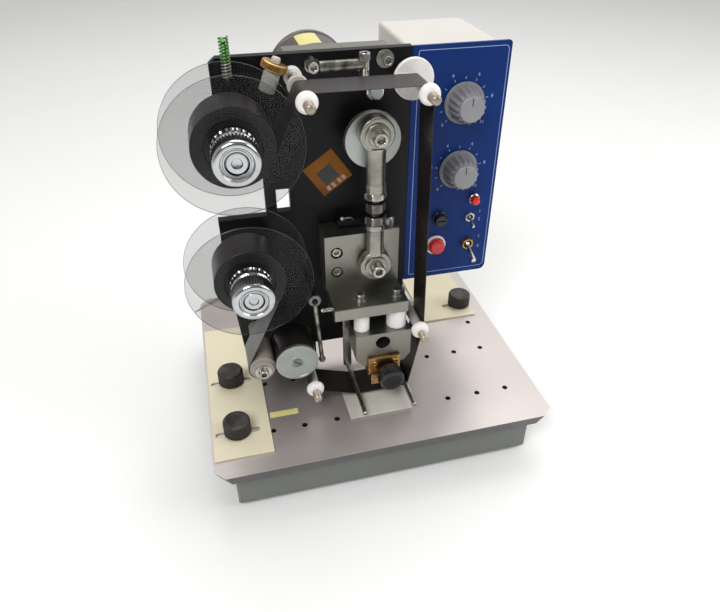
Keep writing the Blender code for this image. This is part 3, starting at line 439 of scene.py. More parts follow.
class CoderSizes(bpy.types.PropertyGroup):
    """Sizes of the fine fittings and of the stage."""

    knurl: bpy.props.FloatProperty(
        name="Knurl depth",
        description="Depth of the knurling on the thumb knobs and reel nuts",
        default=0.0005,
        min=0.0,
        max=0.002,
        subtype="DISTANCE",
        unit="LENGTH",
    )
    haze: bpy.props.FloatProperty(
        name="Disc haze",
        description="How much one face of a clear reel disc hides of what is behind it",
        default=0.17,
        min=0.0,
        max=1.0,
        subtype="FACTOR",
    )
    floor: bpy.props.FloatProperty(
        name="Floor size",
        description="Half the width of the floor",
        default=12.0,
        min=1.0,
        subtype="DISTANCE",
        unit="LENGTH",
    )
    lens: bpy.props.FloatProperty(
        name="Lens",
        description="Focal length of the camera in millimetres",
        default=31.87,
        min=10.0,
        max=200.0,
    )
    key_power: bpy.props.FloatProperty(
        name="Key light", description="Power of the main light", default=30.0, min=0.0, unit="POWER"
    )


def node_group(name, inputs, outputs, wire):
    """A shader node group with named sockets, built once."""
    if name in bpy.data.node_groups:
        return bpy.data.node_groups[name]
    tree = bpy.data.node_groups.new(name, "ShaderNodeTree")
    for label, kind, default in inputs:
        socket = tree.interface.new_socket(name=label, in_out="INPUT", socket_type=kind)
        socket.default_value = default
    for label, kind in outputs:
        tree.interface.new_socket(name=label, in_out="OUTPUT", socket_type=kind)
    enter = tree.nodes.new("NodeGroupInput")
    leave = tree.nodes.new("NodeGroupOutput")
    wire(tree, enter.outputs, leave.inputs)
    return tree


def stretched_noise(tree, given, detail, roughness):
    """Noise over the piece's own coordinates, stretched by the group's Stretch input."""
    place = tree.nodes.new("ShaderNodeTexCoord")
    stretch = tree.nodes.new("ShaderNodeVectorMath")
    stretch.operation = "MULTIPLY"
    noise = tree.nodes.new("ShaderNodeTexNoise")
    noise.inputs["Detail"].default_value = detail
    noise.inputs["Roughness"].default_value = roughness
    tree.links.new(place.outputs["Object"], stretch.inputs[0])
    tree.links.new(given["Stretch"], stretch.inputs[1])
    tree.links.new(stretch.outputs["Vector"], noise.inputs["Vector"])
    tree.links.new(given["Scale"], noise.inputs["Scale"])
    return noise.outputs["Fac"]


def mapped(tree, value, low, high, to_low, to_high):
    """Maps a value between two ranges; each end is a number or a socket."""
    node = tree.nodes.new("ShaderNodeMapRange")
    tree.links.new(value, node.inputs["Value"])
    for label, end in zip(("From Min", "From Max", "To Min", "To Max"), (low, high, to_low, to_high)):
        if isinstance(end, bpy.types.NodeSocket):
            tree.links.new(end, node.inputs[label])
        else:
            node.inputs[label].default_value = end
    return node.outputs["Result"]


def socket_of(node, label, kind):
    """The enabled socket of a Mix node with this label."""
    for socket in node.inputs if kind == "in" else node.outputs:
        if socket.name == label and socket.enabled:
            return socket
    raise ValueError("no socket " + label)


def calculated(tree, job, first, second, clamp=False):
    """The result of a Math node on two values."""
    node = tree.nodes.new("ShaderNodeMath")
    node.operation = job
    node.use_clamp = clamp
    tree.links.new(first, node.inputs[0])
    tree.links.new(second, node.inputs[1])
    return node.outputs[0]


def wire_mottle(tree, given, wanted):
    """Two colours mixed by soft noise."""
    noise = stretched_noise(tree, given, 5.0, 0.6)
    factor = mapped(tree, noise, 0.36, 0.64, 0.0, 1.0)
    tree.links.new(mixed_colour(tree, factor, given["First"], given["Second"]), wanted["Color"])


def mixed_colour(tree, factor, first, second):
    """Mixes two colour sockets through a Mix node's colour sockets."""
    node = tree.nodes.new("ShaderNodeMix")
    node.data_type = "RGBA"
    tree.links.new(factor, socket_of(node, "Factor", "in"))
    tree.links.new(first, socket_of(node, "A", "in"))
    tree.links.new(second, socket_of(node, "B", "in"))
    return socket_of(node, "Result", "out")


def wire_grain(tree, given, wanted):
    """Fine grain as a height, and a roughness that the grain and broad smudges vary together."""
    fine = stretched_noise(tree, given, 3.0, 0.55)
    tree.links.new(fine, wanted["Height"])
    place = tree.nodes.new("ShaderNodeTexCoord")
    broad = tree.nodes.new("ShaderNodeTexNoise")
    broad.inputs["Detail"].default_value = 4.0
    tree.links.new(place.outputs["Object"], broad.inputs["Vector"])
    tree.links.new(given["Smudge Scale"], broad.inputs["Scale"])
    both = calculated(tree, "ADD", broad.outputs["Fac"], fine)
    spread = mapped(tree, both, 0.7, 1.3, given["Smooth"], given["Rough"])
    tree.links.new(spread, wanted["Roughness"])


def wire_edge_wear(tree, given, wanted):
    """A second colour on sharp outer edges, broken up by noise."""
    shape = tree.nodes.new("ShaderNodeNewGeometry")
    edges = mapped(tree, shape.outputs["Pointiness"], 0.515, 0.58, 0.0, 1.0)
    place = tree.nodes.new("ShaderNodeTexCoord")
    patches = tree.nodes.new("ShaderNodeTexNoise")
    patches.inputs["Scale"].default_value = 90.0
    patches.inputs["Detail"].default_value = 6.0
    tree.links.new(place.outputs["Object"], patches.inputs["Vector"])
    broken = mapped(tree, patches.outputs["Fac"], 0.35, 0.6, 0.0, 1.0)
    worn = calculated(tree, "MULTIPLY", edges, broken)
    share = calculated(tree, "MULTIPLY", worn, given["Amount"], clamp=True)
    tree.links.new(mixed_colour(tree, share, given["Color"], given["Worn"]), wanted["Color"])


def wire_dust(tree, given, wanted):
    """Pale dust on faces that look up, broken up by noise."""
    shape = tree.nodes.new("ShaderNodeNewGeometry")
    split = tree.nodes.new("ShaderNodeSeparateXYZ")
    tree.links.new(shape.outputs["Normal"], split.inputs[0])
    level = mapped(tree, split.outputs["Z"], 0.55, 1.0, 0.0, 1.0)
    noise = stretched_noise(tree, given, 6.0, 0.65)
    patches = mapped(tree, noise, 0.42, 0.7, 0.0, 1.0)
    lying = calculated(tree, "MULTIPLY", level, patches)
    share = calculated(tree, "MULTIPLY", lying, given["Amount"], clamp=True)
    tree.links.new(mixed_colour(tree, share, given["Color"], given["Dust"]), wanted["Color"])


GREY = (0.5, 0.5, 0.5, 1.0)
EVEN = (1.0, 1.0, 1.0)


def mottle_group():
    inputs = [
        ("First", "NodeSocketColor", GREY), ("Second", "NodeSocketColor", GREY),
        ("Scale", "NodeSocketFloat", 40.0), ("Stretch", "NodeSocketVector", EVEN),
    ]
    return node_group("mottled colour", inputs, [("Color", "NodeSocketColor")], wire_mottle)


def grain_group():
    inputs = [
        ("Scale", "NodeSocketFloat", 400.0), ("Stretch", "NodeSocketVector", EVEN),
        ("Smudge Scale", "NodeSocketFloat", 25.0), ("Smooth", "NodeSocketFloat", 0.3),
        ("Rough", "NodeSocketFloat", 0.4),
    ]
    outputs = [("Height", "NodeSocketFloat"), ("Roughness", "NodeSocketFloat")]
    return node_group("surface grain", inputs, outputs, wire_grain)


def edge_wear_group():
    inputs = [
        ("Color", "NodeSocketColor", GREY), ("Worn", "NodeSocketColor", GREY),
        ("Amount", "NodeSocketFloat", 0.5),
    ]
    return node_group("edge wear", inputs, [("Color", "NodeSocketColor")], wire_edge_wear)


def dust_group():
    inputs = [
        ("Color", "NodeSocketColor", GREY), ("Dust", "NodeSocketColor", (0.55, 0.52, 0.48, 1.0)),
        ("Scale", "NodeSocketFloat", 60.0), ("Stretch", "NodeSocketVector", EVEN),
        ("Amount", "NodeSocketFloat", 0.2),
    ]
    return node_group("lying dust", inputs, [("Color", "NodeSocketColor")], wire_dust)


def placed(tree, group, values):
    """Puts a node group in a material with its own values; a socket among them is linked."""
    node = tree.nodes.new("ShaderNodeGroup")
    node.node_tree = group
    for label, value in values.items():
        if isinstance(value, bpy.types.NodeSocket):
            tree.links.new(value, node.inputs[label])
        else:
            node.inputs[label].default_value = value
    return node.outputs


def solid_colour(rgb):
    """A colour socket's value, fully opaque."""
    return (rgb[0], rgb[1], rgb[2], 1.0)


def shaded(rgb, share):
    """A colour made lighter (share above 1) or darker (below 1)."""
    return [min(1.0, part * share) for part in rgb]


def surface(
    name, colour, metallic, rough, vary, scale, grain=500.0, stretch=EVEN, *, relief,
    worn=None, wear=0.0, dust=0.0, **constants
):
    """A finish with mottled colour, grain, uneven gloss, worn edges and lying dust.

    colour and worn are hex codes or names of settings, rough is the range of its roughness, vary the
    mottle's darker share, scale and grain the sizes of mottle and grain, and relief is in millimetres.
    """
    made = bpy.data.materials.new(name)
    made.use_nodes = True
    tree = made.node_tree
    shader = tree.nodes["Principled BSDF"]
    plain = linear_tone(colour)
    mottle = {"First": solid_colour(plain), "Second": solid_colour(shaded(plain, vary))}
    tone = placed(tree, mottle_group(), {**mottle, "Scale": scale, "Stretch": stretch})["Color"]
    if wear:
        rubbed = {"Color": tone, "Worn": solid_colour(linear_tone(worn)), "Amount": wear}
        tone = placed(tree, edge_wear_group(), rubbed)["Color"]
    if dust:
        tone = placed(tree, dust_group(), {"Color": tone, "Amount": dust})["Color"]
    tree.links.new(tone, shader.inputs["Base Color"])
    gloss = {"Scale": grain, "Stretch": stretch, "Smooth": rough[0], "Rough": rough[1]}
    fine = placed(tree, grain_group(), gloss)
    tree.links.new(fine["Roughness"], shader.inputs["Roughness"])
    bump = tree.nodes.new("ShaderNodeBump")
    bump.inputs["Strength"].default_value = 1.0
    bump.inputs["Distance"].default_value = relief * MM
    tree.links.new(fine["Height"], bump.inputs["Height"])
    tree.links.new(bump.outputs["Normal"], shader.inputs["Normal"])
    shader.inputs["Metallic"].default_value = metallic
    for label, value in constants.items():
        shader.inputs[label.replace("_", " ")].default_value = value
    made.diffuse_color = solid_colour(plain)
    return made


def clear_disc(name, colour, haze, rough):
    """Clear acrylic that darkens a little what is behind it; haze is the share that it hides."""
    made = surface(
        name, colour, 0.0, rough, 0.9, 18, 120, relief=0.0006, Alpha=haze, Specular_IOR_Level=0.4,
    )
    made.surface_render_method = "BLENDED"
    return made


def painted_spring(name, colour, metal, from_z):
    """Spring wire whose turns above a height, in millimetres, are painted."""
    made = surface(name, metal, 0.6, (0.25, 0.4), 0.7, 200, relief=0.01)
    tree = made.node_tree
    shader = tree.nodes["Principled BSDF"]
    plain = shader.inputs["Base Color"].links[0].from_socket
    place = tree.nodes.new("ShaderNodeTexCoord")
    split = tree.nodes.new("ShaderNodeSeparateXYZ")
    tree.links.new(place.outputs["Object"], split.inputs[0])
    share = mapped(tree, split.outputs["Z"], (from_z - 1.5) * MM, (from_z + 1.5) * MM, 0.0, 1.0)
    green = linear_tone(colour)
    mottle = {"First": solid_colour(green), "Second": solid_colour(shaded(green, 0.6)), "Scale": 300.0}
    paint = placed(tree, mottle_group(), mottle)["Color"]
    tree.links.new(mixed_colour(tree, share, plain, paint), shader.inputs["Base Color"])
    return made


def look_of(slot, colour, *numbers, **more):
    """A finish's slot, and how its material is made under a given name."""
    return {"slot": slot, "make": lambda name: surface(name, colour, *numbers, **more)}


# Metal faced on a lathe: fine rings around the y axis show in its gloss and relief.
FACED = {"vary": 0.86, "scale": 45, "grain": 1400.0, "stretch": (1, 0.25, 1), "relief": 0.006}

FINISHES = {
    "plate": look_of(
        "black", "plate_black", 0.0, (0.36, 0.48), 0.9, 40, 900, relief=0.02, Specular_IOR_Level=0.22
    ),
    "base paint": look_of("grey", "base_grey", 0.0, (0.4, 0.55), 0.94, 14, 700, relief=0.03),
    # The folded lip is the same brushed steel as the top; this darker copy of it is painted shade.
    "lip": look_of("brushed", "#5E5B5A", 0.6, (0.38, 0.5), 0.88, 30, 500, (0.06, 0.06, 1), relief=0.02),
    "base top": look_of(
        "brushed", "base_steel", 0.75, (0.34, 0.46), 0.95, 14, 900, (0.035, 1, 1), relief=0.012
    ),
    "cream": look_of("cream", "guide_cream", 0.0, (0.35, 0.5), 0.95, 16, 800, relief=0.02),
    "box cream": look_of("cream", "box_cream", 0.0, (0.4, 0.55), 0.95, 14, 900, relief=0.03),
    "panel film": look_of(
        "blue", "panel_blue", 0.0, (0.3, 0.42), 0.9, 14, 1100, relief=0.008, Specular_IOR_Level=0.18
    ),
    "print white": look_of("nylon", "#9FB2DC", 0.0, (0.4, 0.5), 0.9, 60, relief=0.004),
    "knob grey": look_of("greyknob", "knob_grey", 0.0, (0.45, 0.6), 0.9, 60, 900, relief=0.03, dust=0.12),
    "dial cap": look_of("greyknob", "#8F9092", 0.0, (0.35, 0.5), 0.93, 50, 900, relief=0.01),
    "thumb black": look_of(
        "blackplastic", "knob_black", 0.0, (0.42, 0.6), 0.75, 70, 700, relief=0.04, worn="#5A504C",
        wear=0.5, dust=0.12
    ),
    "gloss black": look_of(
        "blackplastic", "#151416", 0.0, (0.18, 0.32), 0.7, 60, 500, relief=0.01, dust=0.06
    ),
    "black rubber": look_of("rubber", "#1D1C1C", 0.0, (0.6, 0.8), 0.75, 80, 900, relief=0.05, dust=0.1),
    "pale silicone": look_of(
        "silicone", "#9C948A", 0.0, (0.4, 0.55), 0.85, 60, 600, relief=0.03, dust=0.1,
        Subsurface_Weight=0.1, Subsurface_Scale=0.002
    ),
    "pad": look_of("nylon", "#C9C6BD", 0.0, (0.4, 0.55), 0.9, 40, 500, relief=0.02, dust=0.1),
    "nylon": look_of(
        "nylon", "nylon_white", 0.0, (0.35, 0.5), 0.93, 120, 600, relief=0.02, Subsurface_Weight=0.15,
        Subsurface_Scale=0.002
    ),
    "clear nylon": look_of(
        "nylon", "#C6C3BA", 0.0, (0.25, 0.4), 0.85, 90, 500, relief=0.02, Subsurface_Weight=0.4,
        Subsurface_Scale=0.004
    ),
    "machined alu": look_of("alu", "#94938A", 1.0, (0.3, 0.46), 0.9, 30, 900, (1, 1, 0.08), relief=0.012),
    "faced alu": look_of("alu", "#ADB3AF", 1.0, (0.36, 0.5), **FACED),
    "steel": look_of(
        "steel", "#9C9A90", 1.0, (0.24, 0.4), 0.7, 90, 900, relief=0.012, worn="#E8E6E0", wear=0.6
    ),
    "stud metal": look_of("steel", "#B9AC9C", 0.7, (0.3, 0.45), 0.7, 160, 700, relief=0.012),
    "dark steel": look_of(
        "steel", "#5E5B56", 1.0, (0.32, 0.5), 0.7, 80, 800, relief=0.015, worn="#B8B4AC", wear=0.7
    ),
    "crank face": look_of("steel", "#C3C8C5", 1.0, (0.45, 0.6), **FACED),
    "chrome": look_of("chrome", "#C4C6C8", 1.0, (0.1, 0.24), 0.85, 120, 600, relief=0.006),
    "brass": look_of(
        "brass", "brass", 1.0, (0.25, 0.42), 0.72, 120, 700, relief=0.015, worn="#F0D49A", wear=0.6
    ),
    "hot brass": look_of(
        "brass", "#A5825A", 1.0, (0.25, 0.45), 0.6, 160, 700, relief=0.02, worn="#E8C080", wear=0.7
    ),
    "motor paint": look_of(
        "grey", "motor_grey", 0.35, (0.35, 0.5), 0.85, 40, 700, relief=0.03, worn="#A8A4A0", wear=0.5,
        dust=0.1
    ),
    "foil": look_of(
        "foil", "foil_black", 0.0, (0.24, 0.38), 0.8, 20, 35, (1, 0.3, 1), relief=0.12,
        Specular_IOR_Level=0.4, Coat_Weight=0.1, Coat_Roughness=0.2
    ),
    "roll side": look_of("foil", "#12141B", 0.0, (0.35, 0.5), 0.7, 70, 300, relief=0.03),
    "roll core": look_of("foil", "#0E0E12", 0.0, (0.4, 0.55), 0.7, 70, 300, relief=0.02),
    "clear": {
        "slot": "clear",
        "make": lambda name: clear_disc(name, "#161819", bpy.context.scene.coder_sizes.haze, (0.16, 0.24)),
    },
    "clear rim": {
        "slot": "clear",
        "make": lambda name: clear_disc(name, "#4A5050", 0.6, (0.15, 0.3)),
    },
    "red": look_of("red", "button_red", 0.0, (0.2, 0.34), 0.88, 60, 500, relief=0.01, Coat_Weight=0.2),
    "sticker orange": look_of(
        "brass", "sticker_orange", 0.0, (0.3, 0.45), 0.6, 28, 500, relief=0.01, Specular_IOR_Level=0.2
    ),
    "sticker dark": look_of("foil", "#2A2B28", 0.0, (0.3, 0.4), 0.6, 300, relief=0.008),
    "sticker pale": look_of("nylon", "#C9A58E", 0.0, (0.3, 0.4), 0.6, 300, relief=0.008),
    "paper yellow": look_of("cream", "label_yellow", 0.0, (0.4, 0.5), 0.93, 60, 300, relief=0.01),
    "spring": {
        "slot": "springgreen",
        "make": lambda name: painted_spring(name, "spring_green", "#A7A296", 404.0),
    },
    "board green": look_of("board", "#1E5A38", 0.0, (0.3, 0.45), 0.8, 90, relief=0.02),
    "core iron": look_of("iron", "#55524F", 0.7, (0.45, 0.6), 0.8, 60, 900, (0.02, 0.02, 1), relief=0.05),
}


def finish(look):
    """The material of this finish, made the first time it is asked for."""
    name = look + " finish"
    found = bpy.data.materials.get(name)
    return found if found else FINISHES[look]["make"](name)


# ---------------------------------------------------------------- the pieces

RIBBON_FACE = low_high("ribbon_web")[0].y
RIBBON_ROOT = low_high("ribbon_web")[1].y
PLATE_FACE = low_high("stripper_left")[1].y + 0.3
PANEL_FACE = low_high("dial_upper")[1].y + 0.3
BASE_FACE = low_high("base_top")[1].z


def repaint(nodes, look):
    """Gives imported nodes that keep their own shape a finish."""
    for node in nodes:
        slots = frame["nodes"][node].data.materials
        slots.clear()
        slots.append(finish(look))


def make_base():
    top = packed_shape("base_top", 0.5)
    # Faces of the top that don't look up (its folded lip) get the darker copy of the steel: painted shade.
    tinted(top, lambda centre, normal: normal.z < 0.5)
    piece("base_plate", "frame", ["base top", "lip"], top, ["base_top"])
    piece("base_case", "frame", ["base paint"], packed_shape("base_box", 0.9), ["base_box"])
    piece("base_floor", "frame", ["base paint"], packed_shape("bottom_cover", 0.3), ["bottom_cover"])
    for node in ("foot_fl", "foot_fr", "foot_bl", "foot_br"):
        low, high, spot, radius = round_node(node)
        profile = [
            (0, low.z + 0.6), (3.2, low.z + 0.6), (3.8, low.z), (radius - 1.2, low.z),
            (radius, low.z + 1.2), (radius, high.z - 0.6), (radius - 0.6, high.z), (0, high.z),
        ]
        shape = turned("z", (spot.x, spot.y, 0), profile, FINE)
        piece("rubber_" + node, "frame", ["black rubber"], shape, [node])
    repaint(["transformer"], "core iron")
    pad = packed_shape("anvil_pad", 0.35)
    piece("print_pad", "frame", ["pad"], pad, ["anvil_pad"])
    guide = low_high("guide_left")
    left = guide[1].x + 1.8
    label = block(left, left + 29.5, -82.0, -74.2, BASE_FACE + 0.02, BASE_FACE + 0.14, 0.04, 1)
    piece("blank_strip", "frame", ["paper yellow"], label)
    low, high = low_high("base_box")
    screws = []
    for side, x in ((-1, low.x), (1, high.x)):
        for y in (-95.0, 95.0):
            screws.append(dome_screw("x", (0, y, 34.0), x, x + side * 1.6, 3.6))
    piece("case_screws", "frame", ["steel"], joined(*screws))


def dome_screw(axis, centre, base, face, radius):
    """A low domed screw head with a cross-shaped recess."""
    out = 1 if face > base else -1
    depth = abs(face - base)
    cross = ("notch", 4, radius * 0.2, 0.5)
    profile = [
        (0, base), (radius, base), (radius * 0.94, base + out * depth * 0.45),
        (radius * 0.72, base + out * depth * 0.85), (radius * 0.45, face, cross),
        (radius * 0.36, face - out * depth * 0.7, cross), (0, face - out * depth * 0.8),
    ]
    return turned(axis, centre, profile, 32)


def make_guides():
    for node in ("guide_left", "guide_right"):
        piece(node + "_plate", node + "_body", ["cream"], packed_shape(node, 0.45), [node])
    depth = bpy.context.scene.coder_sizes.knurl / MM
    for index in (1, 2, 3):
        name = "thumb_knob_%d" % index
        node = "guide_knob_%d" % index
        low, high, spot, radius = round_node(node)
        under = joint_place(name + "_turn").z
        count = 40
        ribs = ("wave", count, depth)
        profile = [
            (0, low.z), (2.7, low.z), (2.7, under), (radius - 2.4, under), (radius - 1.2, under + 0.7),
            (radius, under + 2.0), (radius, under + 2.4, ribs), (radius, high.z - 2.6, ribs),
            (radius - 0.2, high.z - 2.1), (radius - 0.9, high.z - 0.8), (radius - 2.3, high.z),
            (radius - 4.6, high.z - 0.15), (radius - 6.0, high.z - 0.5), (0, high.z - 0.6),
        ]
        shape = turned("z", (spot.x, spot.y, 0), profile, 4 * count)
        piece(name, name, ["thumb black"], shape, [node])


def tilted_rect(centre, width, height, turn, y0, y1):
    """A thin rectangle on the plate's face, turned about its own centre."""
    points = []
    for u, v in ((-1, -1), (1, -1), (1, 1), (-1, 1)):
        a, b = u * width / 2, v * height / 2
        x = centre[0] + a * math.cos(turn) - b * math.sin(turn)
        z = centre[1] + a * math.sin(turn) + b * math.cos(turn)
        points.append((x, z))
    return prism(points, y0, y1)


def make_plate():
    piece("upright_plate", "frame", ["plate"], packed_shape("faceplate", 0.45), ["faceplate"])
    piece("foot_bracket", "frame", ["dark steel"], packed_shape("plate_bracket", 0.5), ["plate_bracket"])
    face = PLATE_FACE
    centre = (-29.6, 295.0)
    turn = math.radians(-55.0)
    sheet = tilted_rect(centre, 35.0, 34.0, turn, face - 0.12, face - 0.01)
    piece("sticker", "frame", ["sticker orange"], sheet)
    across = Vector((math.cos(turn), math.sin(turn)))
    up = Vector((-math.sin(turn), math.cos(turn)))
    mid = Vector(centre) - up * 1.0 + across * 1.5
    dark = tilted_rect(mid, 16.5, 16.0, turn, face - 0.17, face - 0.1)
    piece("sticker_window", "frame", ["sticker dark"], dark)
    bars = []
    for share in (-0.62, -0.2, 0.3, 0.66):
        spot = Vector(centre) + across * 13.5 + up * (share * 14)
        bars.append(tilted_rect(spot, 5.0, 3.6, turn, face - 0.17, face - 0.1))
    piece("sticker_bars", "frame", ["sticker pale"], joined(*bars))
    make_plate_fittings(face)


def make_plate_fittings(face):
    """Screws, the cross bar, the shaft end with its ring and other fittings on the plate's front."""
    left_bolt, right_bolt = (-41, 0, 396), (25, 0, 396.5)
    collar_bolt = (-57.8, 0, 388.0)
    steel = [
        hex_nut("y", left_bolt, face, face - 5.5, 7.2, 2.4),
        cap_screw("y", left_bolt, face - 5.5, face - 14.0, 4.9),
        washer("y", right_bolt, face, face - 1.4, 7.4, 2.0),
        washer("y", right_bolt, face - 1.4, face - 2.6, 6.2, 2.0),
        cap_screw("y", right_bolt, face - 2.6, face - 11.0, 4.8),
        cap_screw("y", collar_bolt, face - 7.5, face - 12.5, 4.6),
    ]
    piece("plate_screws", "frame", ["steel"], joined(*steel))
    bar_y = face - 10.5
    bar = [(0, -36.0), (4.0, -36.0), (4.7, -35.3), (4.7, 2.3), (4.0, 3.0), (0, 3.0)]
    piece("cross_bar", "frame", ["dark steel"], turned("x", (0, bar_y, 396.0), bar, FINE))
    stop = (3.4, bar_y - 1.0, 0)
    stem = [(0, 385.0)] + threads(2.9, 385.0, 399.6, 1.0, 0.35) + [(0, 399.6)]
    upright = [
        cap_screw("z", stop, 399.5, 406.0, 4.9), turned("z", stop, stem, SMALL),
        block(-1.6, 8.4, bar_y + 1.5, face - 0.05, 389.5, 399.0, 0.6),
        hex_nut("z", stop, 386.0, 389.4, 4.6, 2.4),
    ]
    piece("stop_screw", "frame", ["steel"], joined(*upright))
    shaft_end = (14.0, 0, 371.0)
    outline = [
        (0, face - 14.0), (4.9, face - 14.0), (5.7, face - 13.2), (5.7, face - 9.0), (5.0, face - 9.0),
        (5.0, face - 7.6), (5.7, face - 7.6), (5.7, face - 0.02), (0, face - 0.02),
    ]
    piece("idle_shaft", "frame", ["crank face"], turned("y", shaft_end, outline, FINE))
    ring = turned("y", shaft_end, rounded_ring(5.2, 8.0, face - 8.9, face - 7.7, 0.3), 48)
    gap = [block(11.4, 16.6, face - 12, face - 5, 361.0, 366.4, 0)]
    piece("shaft_clip", "frame", ["chrome"], carved(ring, gap))
    collar = turned("y", collar_bolt, rounded_ring(4.2, 8.2, face - 7.5, face - 0.1, 0.8), FINE)
    piece("post_collar", "frame", ["nylon"], collar)
    route = [(-22.0, face - 25, 258.0), (-13.0, face - 21.0, 256.0), (-9.0, face - 16.0, 251.0)]
    ball = [(0, -24.3), (1.6, -23.6), (2.3, -22.0), (1.6, -20.4), (0, -19.8)]
    lever = joined(swept(route, 1.0, 12), turned("x", (0, face - 25, 258.0), ball, 20))
    piece("ball_lever", "frame", ["steel"], lever)
    pin = swept([(-126.5, -9.0, 182.0), (-150.0, -9.0, 170.5), (-172.5, -9.0, 159.5)], 2.6, 14, 0.25)
    brace = block(-133.0, -123.0, -10.8, face - 0.05, 176.0, 189.0, 0.6)
    piece("tail_pin", "frame", ["steel"], joined(pin, brace))


def make_motor():
    piece("gear_case", "frame", ["machined alu"], packed_shape("gearbox", 0.5), ["gearbox"])
    low, high, spot, radius = round_node("gear_motor")
    front, back = low.y, high.y
    shell = radius - 1.4
    profile = [
        (0, front), (radius - 1, front), (radius, front + 1), (radius, front + 5.2),
        (radius - 0.8, front + 6), (shell, front + 6.6), (shell, back - 10.4), (radius - 0.6, back - 10),
        (radius, back - 9.2), (radius, back - 4), (radius - 1.2, back - 1.4), (radius - 4, back),
        (22, back), (21, back - 1.2), (9, back - 1.2), (8, back), (0, back),
    ]
    shape = turned("y", (spot.x, 0, spot.z), profile, 96)
    piece("motor", "frame", ["motor paint"], shape, ["gear_motor"])
    screws = []
    for step in range(4):
        angle = math.radians(45 + 90 * step)
        place = (spot.x + 30 * math.cos(angle), 0, spot.z + 30 * math.sin(angle))
        screws.append(cap_screw("y", place, back - 2.5, back - 0.05, 3.4))
    piece("motor_screws", "frame", ["dark steel"], joined(*screws))
    points = []
    for step in range(13):
        angle = math.radians(80 + 31 * step / 12)
        reach = shell + PROUD
        points.append((spot.x + reach * math.cos(angle), spot.z + reach * math.sin(angle)))
    under = [(spot.x + (x - spot.x) * 0.997, spot.z + (z - spot.z) * 0.997) for x, z in reversed(points)]
    piece("motor_label", "frame", ["paper yellow"], prism(points + under, front + 9, back - 13))
    screws = []
    low, high = low_high("gearbox")
    for x in (low.x + 8, high.x - 8):
        for z in (low.z + 8, high.z - 8):
            screws.append(cap_screw("y", (x, 0, z), high.y, high.y + 4.0, 3.6))
    piece("gear_case_screws", "frame", ["steel"], joined(*screws))


def make_box():
    low, high = low_high("control_box")
    front = middle("control_panel").y + 2.0
    shoulder = low_high("gearbox")[0].y
    nose_left = low_high("control_panel")[0].x
    radii = (3.0, 8.0, 8.0, 3.0)
    outer = prism(rounded_outline(low.x, high.x, low.z, high.z, radii), shoulder, high.y)
    rim = [line for line in outer.edges if all(abs(v.co.y - high.y) < 0.01 for v in line.verts)]
    softened(outer, rim, 2.2, 3)
    nose_edge = rounded_outline(nose_left, high.x - 0.02, low.z + 0.02, high.z - 0.02, (1, 8, 8, 1))
    nose = prism(nose_edge, front, shoulder + 6)
    wall = 1.6
    inner = rounded_outline(low.x + wall, high.x - wall, low.z + wall, high.z - wall, (2, 6.6, 6.6, 2))
    cavity = prism(inner, shoulder + wall, high.y - wall)
    mouth = rounded_outline(nose_left + wall, high.x - wall, low.z + wall, high.z - wall, (1, 6.6, 6.6, 1))
    cutters = [cavity, prism(mouth, front - 5, shoulder + 5)]
    for index in range(6):
        z = 300 + index * 12
        slit = prism(rounded_outline(60, 120, z, z + 4.6, (2.2,) * 4), high.y - 6, high.y + 4)
        cutters.append(slit)
    inlet = low_high("power_inlet")
    hole = block(
        inlet[0].x + 4.7, inlet[1].x - 4.7, high.y - 6, high.y + 4, inlet[0].z + 5.7, inlet[1].z - 5.7, 0,
    )
    cutters.append(hole)
    shell = carved(carved(outer, [nose], "UNION"), cutters)
    piece("case_shell", "frame", ["box cream"], shell, ["control_box"])
    piece("inlet_body", "frame", ["gloss black"], packed_shape("power_inlet", 0.5), ["power_inlet"])
    pins = []
    spot = middle("power_inlet")
    for x, z in ((-6.0, -2.4), (6.0, -2.4), (0.0, 2.6)):
        x, z = spot.x + x, spot.z + z
        pins.append(block(x - 1.0, x + 1.0, high.y - 11.9, high.y - 1.0, z - 2.2, z + 2.2, 0.3))
    piece("inlet_pins", "frame", ["brass"], joined(*pins))
    screws = []
    left, right = low.x + 9, high.x - 9
    for x, z in ((left, high.z - 10), (right, high.z - 10), (left, low.z + 9), (right, low.z + 9)):
        screws.append(dome_screw("y", (x, 0, z), high.y, high.y + 1.8, 3.4))
    for side in (-1, 1):
        place = (spot.x + side * 15.2, 0, spot.z + 13.0)
        screws.append(dome_screw("y", place, inlet[1].y, inlet[1].y + 1.2, 2.4))
    piece("case_back_screws", "frame", ["steel"], joined(*screws))
    repaint(["circuit_board"], "board green")


def number_print(text, size, x, z, face):
    """Plain numerals printed on the panel's face, centred on a point."""
    curve = bpy.data.curves.new("numerals", "FONT")
    curve.body = text
    curve.size = size
    curve.align_x = "CENTER"
    curve.align_y = "CENTER"
    curve.extrude = 0.03
    curve.resolution_u = 2
    made = bpy.data.objects.new("numerals", curve)
    bpy.context.scene.collection.objects.link(made)
    depsgraph = bpy.context.evaluated_depsgraph_get()
    mesh = bpy.data.meshes.new_from_object(made.evaluated_get(depsgraph))
    bm = bmesh.new()
    bm.from_mesh(mesh)
    bmesh.ops.rotate(bm, verts=bm.verts, cent=(0, 0, 0), matrix=Euler((math.pi / 2, 0, 0)).to_matrix())
    bmesh.ops.translate(bm, verts=bm.verts, vec=(x, face - 0.04, z))
    bpy.data.objects.remove(made)
    bpy.data.meshes.remove(mesh)
    bpy.data.curves.remove(curve)
    return bm


def leaned(bm, spot, turn):
    """Turns a shape built at the origin by three angles in degrees, then moves it to its spot."""
    matrix = Euler([math.radians(part) for part in turn]).to_matrix()
    bmesh.ops.rotate(bm, verts=bm.verts, cent=(0, 0, 0), matrix=matrix)
    bmesh.ops.translate(bm, verts=bm.verts, vec=Vector(spot))
    return bm


def well(centre, radius, low, high):
    """A round cutter along y."""
    return turned("y", centre, [(0, low), (radius, low), (radius, high), (0, high)], FINE)


